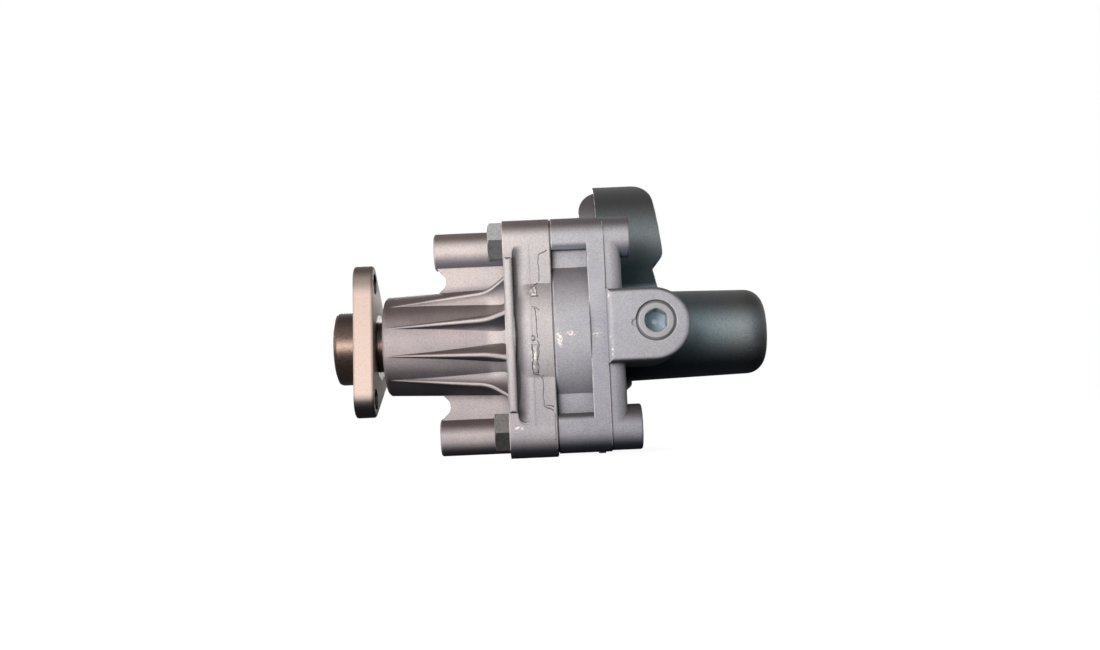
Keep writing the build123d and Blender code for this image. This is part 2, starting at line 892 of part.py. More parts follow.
def bearing_shields():
    inner = bearing_pitch_r - land_offset + shield_inset
    outer = bearing_pitch_r + land_offset + shield_seat - thread_gap
    shields = []
    for x in (bearing_front_x + shield_inset, bearing_back_x - shield_inset - shield_thick):
        shields.append(
            turned([(x, inner), (x, outer), (x + shield_thick, outer), (x + shield_thick, inner)])
        )
    return Compound(shields)


def bearing_circlip():
    x0 = bearing_front_x - circlip_thick - circlip_play
    outer = bearing_outer_r + circlip_groove - circlip_play
    lug_at = outer - circlip_lug_inset
    mouth = 2 * lug_at * math.sin(math.radians(circlip_lug_deg)) - 2 * circlip_lug_r + 2 * circlip_play
    sketch = Circle(outer) - Circle(outer - circlip_band)
    for side in (1, -1):
        sketch += Rot(0, 0, side * circlip_lug_deg) * Pos(lug_at, 0) * Circle(circlip_lug_r)
    sketch -= Pos(outer, 0) * Rectangle(2 * circlip_lug_inset + circlip_lug_r, mouth)
    for side in (1, -1):
        sketch -= Rot(0, 0, side * circlip_lug_deg) * Pos(lug_at, 0) * Circle(circlip_eye_r)
    return section_x(x0, x0 + circlip_thick, sketch)


# Where the seal's body starts, its lip and its garter spring
def seal_stations():
    back = seal_back_x - seal_back_play
    front = back - seal_width
    lip = front + seal_width * 0.5
    garter = front + seal_width * 0.72
    return front, lip, garter, back


def shaft_seal():
    front, lip, garter, back = seal_stations()
    case = seal_r - seat_gap
    seal = turned(
        [
            (front, case),
            (back, case),
            (back, case - seal_wall),
            (front + seal_web, case - seal_wall),
            (front + seal_web, shaft_r + seal_lip_back),
            (garter + 2 * garter_wire_r, shaft_r + seal_lip_back),
            (garter + 2 * garter_wire_r, shaft_r + seal_lip_root),
            (lip + seal_web, shaft_r + running_gap),
            (lip - seal_web, shaft_r + seal_lip_root),
            (front, shaft_r + seal_lip_root),
        ]
    )
    return seal - ring_torus(garter, shaft_r + garter_offset, garter_wire_r + o_ring_gap)


def seal_garter_spring():
    garter = seal_stations()[2]
    return ring_torus(garter, shaft_r + garter_offset, garter_wire_r)


def front_bush():
    back = pack_front_x - bush_end_play
    bush = bar_x(bush_front_x, back, bush_r - seat_gap)
    return bush - bar_x(bush_front_x - over, back + over, shaft_r + running_gap)


# Kidney-shaped port about the shaft axis
def kidney(middle_deg, radius, wide):
    return SlotArc(CenterArc((0, 0), radius, middle_deg - kidney_span / 2, kidney_span), wide)


def front_port_plate():
    plate = bar_x(pack_front_x, cam_front_x, pack_r)
    plate -= bar_x(pack_front_x - over, cam_front_x + over, shaft_r + port_bore_room)
    for middle in ports_deg:
        plate -= section_x(cam_front_x - kidney_deep, cam_front_x + over, kidney(middle, kidney_r, kidney_wide))
    for side in (1, -1):
        plate -= bar_x(pack_front_x - over, cam_front_x + over, dowel_r + seat_gap, side * dowel_pitch_r)
    return plate


def pressure_plate():
    plate = turned(
        [
            (cam_back_x, 0),
            (cam_back_x, pack_r),
            (pack_back_x, pack_r),
            (pack_back_x, hub_r),
            (hub_end_x, hub_r),
            (hub_end_x, hub_recess_r),
            (cavity_floor_x, hub_recess_r),
            (cavity_floor_x, 0),
        ]
    )
    shaft_end_x = cam_back_x + journal_length
    plate -= bar_x(cam_back_x - over, shaft_end_x + dowel_spare, journal_r + running_gap)
    plate -= bar_x(cam_back_x - over, cam_back_x + clip_recess_deep, clip_r + clip_room)
    for middle in ports_deg[1::2]:
        plate -= section_x(cam_back_x - over, hub_end_x + over, kidney(middle, kidney_r, kidney_wide))
    for middle in ports_deg[0::2]:
        plate -= section_x(cam_back_x - over, cam_back_x + inlet_deep, kidney(middle, inlet_r, inlet_wide))
    dowel_back_x = cam_back_x + dowel_seat
    for side in (1, -1):
        plate -= bar_x(cam_back_x - over, dowel_back_x + dowel_spare, dowel_r + seat_gap, side * dowel_pitch_r)
    return plate


def cam_ring():
    sketch = Circle(pack_r) - Rot(0, 0, 90) * Ellipse(cam_major_r, cam_minor_r)
    ring = section_x(cam_front_x, cam_back_x, sketch)
    for side in (1, -1):
        ring -= bar_x(cam_front_x - over, cam_back_x + over, dowel_r + seat_gap, side * dowel_pitch_r)
    return ring


def vane_angles():
    return [360 / vane_count * (k + 0.5) for k in range(vane_count)]


def rotor():
    sketch = Circle(rotor_r)
    outer = rotor_r + over
    for angle in vane_angles():
        slot_wide = vane_thick + 2 * vane_slot_gap
        slot = Pos((vane_root_r + outer) / 2, 0) * Rectangle(outer - vane_root_r, slot_wide)
        slot += Pos(vane_root_r, 0) * Circle(vane_foot_r)
        sketch -= Rot(0, 0, angle) * slot
    sketch -= spline_section(running_gap)
    return section_x(cam_front_x + side_gap, cam_back_x - side_gap, sketch)


def vanes():
    outline = Pos((vane_foot_x + vane_tip_r) / 2, 0) * Rectangle(vane_height, vane_thick)
    outline = fillet(outline.vertices().group_by(Axis.X)[-1], vane_tip_round)
    vane = section_x(cam_front_x + side_gap, cam_back_x - side_gap, outline)
    return Compound([Rot(angle, 0, 0) * vane for angle in vane_angles()])


def rotor_circlip():
    bore = journal_r - clip_groove_deep + clip_play
    sketch = Circle(clip_r) - Circle(bore)
    sketch -= Pos(clip_r, 0) * Rectangle(2 * (clip_r - bore) + over, clip_mouth)
    x0 = cam_back_x + clip_groove_front + clip_play
    return section_x(x0, x0 + clip_thick, sketch)


def dowel_pins():
    x0 = pack_front_x - dowel_seat
    x1 = cam_back_x + dowel_seat
    return Compound([bar_x(x0, x1, dowel_r, side * dowel_pitch_r) for side in (1, -1)])


def disc_spring():
    front = cavity_floor_x + disc_lean
    return turned(
        [
            (front, disc_outer_r - disc_lean),
            (front + disc_thick, disc_outer_r + disc_lean),
            (front + disc_thick + disc_rise, disc_inner_r + disc_lean),
            (front + disc_rise, disc_inner_r - disc_lean),
        ]
    )


# Flow control valve
def flow_spool():
    spool = turned(
        [
            (cavity_floor_x + spool_stop_gap, 0),
            (cavity_floor_x + spool_stop_gap, spool_stop_r),
            (spool_front_x, spool_stop_r),
            (spool_front_x, spool_r - spool_edge),
            (spool_front_x + spool_edge, spool_r),
            (spool_waist_front_x, spool_r),
            (spool_waist_front_x + spool_shoulder, spool_waist_r),
            (spool_waist_back_x - spool_shoulder, spool_waist_r),
            (spool_waist_back_x, spool_r),
            (spool_back_x, spool_r),
            (spool_back_x, spool_pocket_r),
            (spool_pocket_x, spool_pocket_r),
            (spool_pocket_x, relief_bore_r),
            (relief_bore_x, relief_bore_r),
            (relief_bore_x, 0),
        ]
    )
    for k in range(spool_groove_count):
        x0 = spool_waist_back_x + spool_groove_first + spool_groove_pitch * k
        x1 = x0 + spool_groove_wide
        floor = spool_r - spool_groove_deep
        spool -= turned([(x0, floor), (x0, spool_r + over), (x1, spool_r + over), (x1, floor)])
    for k in range(4):
        hole = bar_y(0, spool_r, spool_hole_r, spool_hole_x, 0)
        spool -= Rot(90 * k + 45, 0, 0) * hole
    return spool


def coil(x0, x1, mean_r, wire_r, pitch):
    path = Helix(pitch, x1 - x0 - 2 * wire_r, mean_r)
    wire = sweep(Plane(origin=path @ 0, z_dir=path % 0) * Circle(wire_r), path)
    return Pos(x0 + wire_r, 0, 0) * Rot(0, 90, 0) * wire


def spool_spring():
    return coil(spool_pocket_x, spool_bore_end_x, spring_mean_r, spring_wire_r, spring_pitch)


# Where the relief valve's guide starts, widens and ends
def guide_stations():
    back = relief_ball_x - relief_guide_back
    head = back - relief_guide_head
    return head - relief_guide_stem, head, back


def relief_spring():
    head = guide_stations()[1]
    return coil(relief_bore_x, head, relief_mean_r, relief_wire_r, relief_pitch)


def relief_guide():
    front, head, back = guide_stations()
    guide = turned(
        [
            (front, 0),
            (front, relief_guide_stem_r),
            (head, relief_guide_stem_r),
            (head, relief_guide_r),
            (back, relief_guide_r),
            (back, 0),
        ]
    )
    return guide - Pos(relief_ball_x, 0, 0) * Sphere(relief_ball_r + relief_ball_gap)


def relief_ball():
    return Pos(relief_ball_x, 0, 0) * Sphere(relief_ball_r)


def relief_seat():
    outer = relief_bore_r - thread_gap
    seat = turned(
        [
            (relief_seat_x, relief_cone_r),
            (relief_seat_x, outer),
            (spool_pocket_x, outer),
            (spool_pocket_x, relief_hole_r),
            (relief_seat_x + relief_cone, relief_hole_r),
        ]
    )
    socket = RegularPolygon(relief_flats / 2, 6, major_radius=False)
    return seat - section_x(spool_pocket_x - relief_flats_deep, spool_pocket_x + over, socket)


# Where the plug's O-ring groove starts and ends
def plug_groove():
    y0 = plug_face_y + plug_sunk + plug_length - plug_groove_back - plug_groove_wide
    return y0, y0 + plug_groove_wide


# Plug in the flat-faced boss
def valve_plug():
    face_y = plug_face_y + plug_sunk
    plug = bar_y(face_y, face_y + plug_length, plug_r, cross_x, cross_z)
    plug = chamfer(plug.edges().group_by(Axis.Y)[0], plug_chamfer)
    face = Plane(origin=(cross_x, face_y, cross_z), x_dir=(1, 0, 0), z_dir=(0, 1, 0))
    hexagon = RegularPolygon(plug_flats / 2, 6, major_radius=False, rotation=30)
    plug -= extrude(face * hexagon, plug_socket_deep)
    mouth_deep = plug_socket_mouth_r - plug_flats / 2
    mouth = Cone(plug_socket_mouth_r, plug_flats / 2, mouth_deep, align=(Align.CENTER, Align.CENTER, Align.MIN))
    plug -= face * mouth
    tip = Cone(plug_flats / 2, plug_flats / 8, plug_socket_cone, align=(Align.CENTER, Align.CENTER, Align.MIN))
    plug -= face * Pos(0, 0, plug_socket_deep) * tip
    y0, y1 = plug_groove()
    groove = bar_y(y0, y1, plug_r + over, cross_x, cross_z)
    groove -= bar_y(y0, y1, plug_r - plug_groove_deep, cross_x, cross_z)
    return plug - groove


def plug_o_ring():
    y0, y1 = plug_groove()
    mean_r = plug_r - plug_groove_deep + plug_o_ring_r + thread_gap
    ring = Rot(90, 0, 0) * Torus(mean_r, plug_o_ring_r)
    return Pos(cross_x, (y0 + y1) / 2, cross_z) * ring


def housing_o_ring():
    mean_r = cavity_r + face_o_ring_wall + face_o_groove_wide / 2
    return ring_torus(joint_x - face_o_groove_deep / 2, mean_r, face_o_ring_r)


def plate_o_ring():
    return ring_torus((pack_back_x + cavity_floor_x) / 2, hub_r + plate_o_ring_r + thread_gap, plate_o_ring_r)


def housing_bolt():
    head_x = plate_front_x - bolt_head_h
    hexagon = RegularPolygon(bolt_head_flats / 2, 6, major_radius=False)
    cone = turned(
        [
            (head_x, 0),
            (head_x, bolt_head_flats / 2 - thread_gap),
            (head_x + bolt_head_chamfer, bolt_head_washer_r),
            (plate_front_x, bolt_head_washer_r),
            (plate_front_x, 0),
        ]
    )
    head = section_x(head_x, plate_front_x, hexagon) & cone
    shank = bar_x(plate_front_x, plate_front_x + bolt_length, bolt_r)
    return head + chamfer(shank.edges().sort_by(Axis.X)[-1], bolt_end_chamfer)


def housing_bolts():
    bolt = housing_bolt()
    return Compound([Pos(0, y, z) * bolt for y, z in corners()])


pieces = {
    "front_housing": front_housing,
    "rear_housing": rear_housing,
    "drive_flange": drive_flange,
    "drive_shaft": drive_shaft,
    "bearing_outer_ring": bearing_outer_ring,
    "bearing_inner_ring": bearing_inner_ring,
    "bearing_balls": bearing_balls,
    "bearing_cage": bearing_cage,
    "bearing_shields": bearing_shields,
    "bearing_circlip": bearing_circlip,
    "shaft_seal": shaft_seal,
    "seal_garter_spring": seal_garter_spring,
    "front_bush": front_bush,
    "front_port_plate": front_port_plate,
    "pressure_plate": pressure_plate,
    "cam_ring": cam_ring,
    "rotor": rotor,
    "vanes": vanes,
    "rotor_circlip": rotor_circlip,
    "dowel_pins": dowel_pins,
    "disc_spring": disc_spring,
    "flow_spool": flow_spool,
    "spool_spring": spool_spring,
    "relief_ball": relief_ball,
    "relief_guide": relief_guide,
    "relief_spring": relief_spring,
    "relief_seat": relief_seat,
    "valve_plug": valve_plug,
    "plug_o_ring": plug_o_ring,
    "housing_o_ring": housing_o_ring,
    "plate_o_ring": plate_o_ring,
    "housing_bolts": housing_bolts,
}

os.makedirs("parts", exist_ok=True)
for name, build in pieces.items():
    export_step(build(), f"parts/{name}.step")
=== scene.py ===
import json
import math
import random

import bmesh
import bpy
from mathutils import Euler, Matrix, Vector, noise
from mathutils.bvhtree import BVHTree


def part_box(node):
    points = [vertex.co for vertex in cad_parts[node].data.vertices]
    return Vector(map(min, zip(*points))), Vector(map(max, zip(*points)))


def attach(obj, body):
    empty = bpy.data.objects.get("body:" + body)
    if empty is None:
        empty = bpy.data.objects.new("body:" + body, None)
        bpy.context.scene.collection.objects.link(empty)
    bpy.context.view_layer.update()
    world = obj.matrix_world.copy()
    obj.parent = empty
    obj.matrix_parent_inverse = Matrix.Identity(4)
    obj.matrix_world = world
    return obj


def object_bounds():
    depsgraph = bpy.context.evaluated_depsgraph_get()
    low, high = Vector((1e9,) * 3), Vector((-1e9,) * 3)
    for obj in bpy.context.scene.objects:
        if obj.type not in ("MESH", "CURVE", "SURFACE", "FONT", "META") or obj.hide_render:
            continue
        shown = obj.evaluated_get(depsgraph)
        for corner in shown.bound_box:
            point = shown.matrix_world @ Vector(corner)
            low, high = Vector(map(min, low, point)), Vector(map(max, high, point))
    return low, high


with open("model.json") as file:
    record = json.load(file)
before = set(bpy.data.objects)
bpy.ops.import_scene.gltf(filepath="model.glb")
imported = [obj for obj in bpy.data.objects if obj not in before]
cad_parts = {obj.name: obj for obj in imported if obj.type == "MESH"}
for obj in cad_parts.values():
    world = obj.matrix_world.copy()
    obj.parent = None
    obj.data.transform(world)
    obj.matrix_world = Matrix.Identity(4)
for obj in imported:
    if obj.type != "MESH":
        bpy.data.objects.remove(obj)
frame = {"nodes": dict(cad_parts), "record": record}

bl_info = {
    "name": "Power Steering Pump Dressing",
    "version": (1, 0, 0),
    "blender": (4, 5, 0),
    "location": "View3D > Sidebar > Pump",
    "description": "Finishes the vane pump's castings, flange and bolts and sets them on a plain stage",
    "category": "Object",
}

CAD_BOX = [list(corner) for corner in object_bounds()]
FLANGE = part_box("drive_flange")
FLOOR_Z = CAD_BOX[0][2]

GROUND_STEEL = (
    "bearing_outer_ring", "bearing_inner_ring", "bearing_balls", "bearing_cage", "bearing_shields",
    "cam_ring", "front_port_plate", "pressure_plate", "rotor", "vanes", "dowel_pins",
    "flow_spool", "relief_ball", "relief_guide", "relief_seat",
)
SPRINGS = (
    "bearing_circlip", "rotor_circlip", "disc_spring", "spool_spring", "relief_spring", "seal_garter_spring",
)
RUBBER = ("shaft_seal", "plug_o_ring", "housing_o_ring", "plate_o_ring")

# Where the flange's first lobe stands at rest, in degrees about the shaft
LOBE_TURN = -8

# The flash's low slab on the near side: its left and its right edge in x and z
SLAB_LEFT = ((0.0368, -0.0036), (0.0369, -0.0057), (0.0371, -0.0078), (0.0366, -0.0112), (0.0369, -0.0138))
SLAB_RIGHT = ((0.0386, -0.0024), (0.0391, -0.0040), (0.0388, -0.0068), (0.0384, -0.0102), (0.0386, -0.0139))

# Casting flash on the near side: height share, first flank with painted shadow and the traced line in x and z
FLASH_LINES = (
    (0.35, 0, ((0.0435, 0.0296), (0.0421, 0.0288), (0.0408, 0.0285))),
    (0.40, 2, ((0.0408, 0.0285), (0.0402, 0.0276), (0.0400, 0.0255), (0.0402, 0.0227), (0.0401, 0.0189))),
    (0.90, 2, ((0.0396, 0.0182), (0.0380, 0.0170), (0.0369, 0.0168))),
    (1.00, 2, ((0.0388, 0.0168), (0.0391, 0.0149), (0.0391, 0.0134))),
    (0.80, 0, ((0.0370, 0.0133), (0.0382, 0.0135), (0.0398, 0.0134))),
    (0.60, 2, ((0.0356, 0.0142), (0.0362, 0.0147), (0.0370, 0.0137))),
    (1.00, 3, ((0.0372, 0.0096), (0.0386, 0.0093), (0.0399, 0.0084))),
    (0.90, 2, ((0.0383, 0.0091), (0.0384, 0.0066), (0.0386, 0.0048), (0.0386, 0.0006), (0.0389, -0.0014))),
    (1.20, 2, ((0.0387, -0.0024), (0.0393, -0.0040), (0.0390, -0.0054), (0.0390, -0.0068),
               (0.0386, -0.0092))),
    (1.20, 2, ((0.0386, -0.0092), (0.0385, -0.0102), (0.0388, -0.0113), (0.0387, -0.0139))),
    (0.70, 0, SLAB_LEFT),
    (0.80, 0, ((0.0369, -0.0140), (0.0381, -0.0142), (0.0391, -0.0146))),
    (1.00, 4, ((0.0388, -0.0143), (0.0396, -0.0147), (0.0405, -0.0148))),
    (0.70, 2, ((0.0396, -0.0152), (0.0401, -0.0162), (0.0402, -0.0180), (0.0399, -0.0219),
               (0.0402, -0.0254))),
    (0.60, 0, ((0.0402, -0.0254), (0.0411, -0.0260), (0.0421, -0.0262), (0.0435, -0.0271))),
    (0.30, 0, ((0.0408, -0.0251), (0.0422, -0.0252), (0.0437, -0.0257))),
    (0.35, 2, ((0.0438, -0.0280), (0.0438, -0.0321), (0.0437, -0.0374))),
)

# Where the cast pip stands beside the flash, in x and z
PIP = (0.0373, -0.0015)

# The soft valley behind each rim of the front plate: its foot, its shore and its upper and lower ends
VALLEY_X = (0.0310, 0.0362)
VALLEY_Z = (-0.0330, 0.0322)

# The valley's rows and columns, the steep share of its width and the length of its lower and upper run-outs
VALLEY_GRID = (150, 30)
VALLEY_STEEP = 0.12
VALLEY_LOW_RUN = 0.008
VALLEY_HIGH_RUN = 0.006

# How the valley sits over the solid: where beside it the plate's level is read, what it leaves over the
# hollow, how far its sheet reaches past foot and shore, stands proud, is sunk at its edges, and its thickness
VALLEY_BESIDE = 0.0010
VALLEY_SPARE = 0.0001
VALLEY_HEM = 0.0006
VALLEY_PROUD = 0.00002
VALLEY_SUNK = 0.00008
VALLEY_THICK = 0.0003

# Ridges of flash and seam: how deep they are set in, how fine their crests and widths vary along them,
# and the spacing and the sideways play of their points
RIDGE_SINK = 0.00012
CREST_NOISE = 900
WIDTH_NOISE = 700
FLASH_STEP = 0.0005
FLASH_SWAY = 0.00009
SEAM_STEP = 0.0007
SEAM_SWAY = 0.00003

# The slab of flash: rows and columns, height in parts of the flash's, unevenness, set-in edges and thickness
SLAB_GRID = (36, 8)
SLAB_HEIGHT = 0.4
SLAB_NOISE = 1600
SLAB_SINK = 0.0001
SLAB_THICK = 0.0004

# The cast pip: its stretch along each axis, and how strong and how fine its lumps are
PIP_STRETCH = (0.85, 0.6, 1.1)
PIP_LUMPS = 0.18
PIP_NOISE = 1500

# Threads: steps in one turn, start and length of the mounting threads, and the plain lengths at each end of
# a flange thread, at the mouth of a port and at both ends of a port together
THREAD_STEPS = 40
MOUNT_START = 0.001
MOUNT_RUN = 0.0175
FLANGE_INSET = 0.0008
PORT_MOUTH = 0.0012
PORT_ENDS = 0.0028

# A distance from the shaft that is surely outside the part
CLEAR_OF_PART = 0.2

# The rear housing's parting line beside the plug boss: x, and where it runs in z
SEAM_X = 0.0634
SEAM_RUNS = ((0.0395, 0.0152), (-0.0118, -0.0408))

# The neck between the ribs: x and radius at its front and at its root
NECK_FRONT = (-0.0192, 0.0190)
NECK_ROOT = (0.0215, 0.0207)

# Bright scuffs: the middle and the reach of each
FRONT_SCUFFS = (
    ((0.0313, -0.0435, -0.0328), (0.0022, 0.002, 0.0009)),
    ((0.0345, -0.0395, 0.0030), (0.0012, 0.003, 0.0040)),
    ((0.0372, -0.0425, -0.0080), (0.0016, 0.003, 0.0060)),
    ((0.0380, -0.0405, 0.0150), (0.0016, 0.003, 0.0030)),
)
REAR_SCUFFS = (
    ((0.0466, -0.0432, -0.0020), (0.0020, 0.003, 0.0045)),
    ((0.0508, -0.0432, -0.0004), (0.0026, 0.003, 0.0012)),
    ((0.0598, -0.0420, -0.0010), (0.0022, 0.003, 0.0010)),
    # The next three, along the plug boss's left edge, are painted glints
    ((0.0645, -0.0480, -0.0075), (0.0010, 0.002, 0.0016)),
    ((0.0640, -0.0480, -0.0020), (0.0006, 0.002, 0.0012)),
    ((0.0640, -0.0480, 0.0118), (0.0007, 0.002, 0.0014)),
)

# Noise levels between which each pattern turns from one tone to the other
PIT_LEVELS = (0.34, 0.62)
CLOUD_LEVELS = (0.32, 0.68)
SPECK_LEVELS = (0.47, 0.58)
WEAR_LEVELS = (0.35, 0.6)
WEAR_SHARES = (0.1, 0.75)
SHEEN_LEVELS = (0.3, 0.7)

# Sizes of the castings' clouds, worn patches and bright specks, and of the grain of rubber, of the flash's
# painted shadow and of the floor
CLOUD_SIZE = 0.014
WEAR_SIZE = 0.003
SPECK_SIZE = 0.0011
RUBBER_GRAIN = 0.0012
FLASH_SHADOW_GRAIN = 0.0004
FLOOR_GRAIN = 0.004

# How far the painted shade in corners, the test for edges that lie open and the painted shade in the plug's
# socket reach
CORNER_SHADE_REACH = 0.005
OPEN_REACH = 0.0035
SOCKET_SHADE_REACH = 0.0022
OPEN_LEVELS = (0.75, 1.0)

# Heights of the normal between which the painted shade on top and underneath sets in
CAST_TOP = (0.08, 0.68)
CAST_UNDER = (-0.15, -0.78)
FLANGE_TOP = (0.20, 0.75)
FLANGE_UNDER = (0.02, -0.45)
NOSE_TOP = (0.35, 0.85)
BOLT_TOP = (0.5, 0.95)
BOLT_UNDER = (-0.38, -0.57)

# Cosine of an edge's turn, from plain to fully worn and highlit, and a scuff's fade in parts of its reach
EDGE_TURN = (0.997, 0.90)
SCUFF_FADE = (1.0, 0.3)

# Where each tone, painted shade or painted shadow starts and where it is full, along one axis
# Painted shade: the light's falloff, darker and cooler towards the plate
PLATE_FALLOFF_X = (0.012, 0.036)
NECK_END_X = (0.0272, 0.0255)
# Painted shade, darker towards the bottom of the castings
LOW_DOWN_SHADE_Z = (0.012, -0.034)
# The painted shade underneath is lighter high up
UNDER_SHADE_LIGHT_Z = (0.010, 0.030)
# Painted shade between the neck's ribs
RIB_SHADE_X = (NECK_ROOT[0] + 0.001, NECK_ROOT[0] - 0.003)
RIB_SHADE_HEIGHT = (0.0024, 0.0002)
# Painted shadow of each rim in the valley behind it
RIM_SHADOW_X = (VALLEY_X[0] - 0.0002, VALLEY_X[0])
RIM_SHADOW_FADE_X = (VALLEY_X[1] - 0.0015, VALLEY_X[0] + 0.0008)
RIM_SHADOW_Z = (0.0315, 0.0275)
# Painted shade and bluish painted reflection on the barrel and the suction block
BARREL_SHADE_X = (0.0690, 0.0725)
BARREL_SHADE_Y = (-0.0400, -0.0250)
BARREL_BROWN_X = (0.098, 0.116)
# Painted shade at the barrel's end
BARREL_END_SHADE_X = (0.1135, 0.1245)
BLOCK_SHADE_X = (0.0631, 0.0634)
BLOCK_SHADE_Y = (0.0, 0.003)
# Painted shade on the block's top
BLOCK_TOP_SHADE_Z = (0.019, 0.024)
# Painted shadow at the block's root
BLOCK_ROOT_SHADOW_TOP_Z = (0.042, 0.027)
BLOCK_ROOT_SHADOW_LOW_Z = (0.0185, 0.0215)
# Painted shade on the flange's upper and lower lobes
LOBE_TOP_SHADE_Z = (0.0185, 0.0245)
LOBE_LOW_SHADE_Z = (-0.0175, -0.0215)
# Painted shade on the lower bolts
LOW_BOLT_SHADE_Z = (-0.01, 0.01)
SOCKET_EDGE = (0.0046, 0.0040)
SOCKET_DEPTH = (0.0006, 0.0020)

# Tints that painted shade, painted shadow and painted reflection, pits, clouds and painted shade in corners
# lay over a finish
WHITE = (1, 1, 1, 1)
PIT_DARK = (0.84, 0.84, 0.84, 1)
PIT_LIGHT = (1.08, 1.08, 1.08, 1)
CLOUD_COOL = (0.88, 0.89, 0.91, 1)
CLOUD_WARM = (1.0, 0.985, 0.975, 1)
# Painted shade in corners, low down and between the ribs, and the rims' painted shadow
CORNER_SHADE_TINT = (0.58, 0.58, 0.60, 1)
LOW_DOWN_SHADE_TINT = (0.74, 0.74, 0.77, 1)
RIB_SHADE_TINT = (0.68, 0.67, 0.69, 1)
RIM_SHADOW_TINT = (0.34, 0.33, 0.34, 1)
# Painted reflection and painted shade on the far side, the barrel's end and the block's top, and painted
# shadow at the block's root
BARREL_COOL = (0.94, 1.0, 1.02, 1)
BARREL_WARM = (1.04, 0.96, 0.92, 1)
BARREL_END_SHADE_TINT = (0.42, 0.42, 0.44, 1)
BLOCK_TOP_SHADE_TINT = (0.82, 0.73, 0.69, 1)
BLOCK_ROOT_SHADOW_TINT = (0.16, 0.18, 0.19, 1)
# Painted shade on the flange's lobes, the lower bolts and in the socket's corners
LOBE_TOP_SHADE_TINT = (0.36, 0.36, 0.36, 1)
LOW_BOLT_SHADE_TINT = (0.42, 0.40, 0.39, 1)
SOCKET_SHADE_TINT = (0.10, 0.12, 0.14, 1)
RUBBER_DUSTY = (0.045, 0.045, 0.047, 1)
# Painted shadow on the flash's shaded flanks
FLASH_SHADOW_DARK = (0.035, 0.03, 0.03, 1)
FLASH_SHADOW_LIGHT = (0.13, 0.11, 0.11, 1)

# Strengths of the lighter painted shade high up underneath, the far side's pits, wear and painted highlight on
# the neck, steel's edges, the worn and highlit tone of steel's edges and turning marks
UNDER_SHADE_LIGHT_HIGH_UP = 3.2
FAR_PITS = 0.70
NECK_WEAR_HIGHLIGHT = 0.2
STEEL_EDGE = 0.6
STEEL_WEAR_HIGHLIGHT_TONE = (1.25, 0.03)
TURNING_SHARE = 0.35
FINE_DEPTH = 0.00003

# How far the roughness of castings and of steel varies below and above its value, and the other shader values
CAST_SHEEN = (0.06, 0.10)
STEEL_SHEEN = (0.07, 0.09)
RUBBER_SHEEN = (0.55, 0.75)
FLASH_SHADOW_SHEEN = (0.6, 0.8)
CAST_METALLIC = 0.10
FAR_METALLIC = 0.75
CAST_SPECULAR = 0.18
STEEL_SPECULAR = 0.4

# The floor: tone of its specks, and from where to where its glow grows, with its strengths there
FLOOR_SPECKS = 0.97
GLOW_REACH = (0.12, 0.35)
GLOW_LEVELS = (0.95, 1.0)

# What each lamp is aimed at
KEY_AIM = (0.04, -0.02, 0.005)
SIDE_AIM = (0.0, -0.01, 0.0)
BACK_AIM = (0.03, 0.0, 0.0)


def colour(name, description, default):
    return bpy.props.FloatVectorProperty(
        name=name, description=description, default=default, size=4, min=0.0, max=1.0, subtype="COLOR"
    )


def length(name, description, default):
    return bpy.props.FloatProperty(
        name=name, description=description, default=default, min=0.0, precision=5, unit="LENGTH",
        subtype="DISTANCE",
    )


def place(name, description, default):
    return bpy.props.FloatVectorProperty(
        name=name, description=description, default=default, size=3, unit="LENGTH", subtype="TRANSLATION"
    )


def power(name, description, default):
    return bpy.props.FloatProperty(name=name, description=description, default=default, min=0.0, unit="POWER")


def share(name, description, default):
    return bpy.props.FloatProperty(
        name=name, description=description, default=default, min=0.0, max=1.0, subtype="FACTOR"
    )


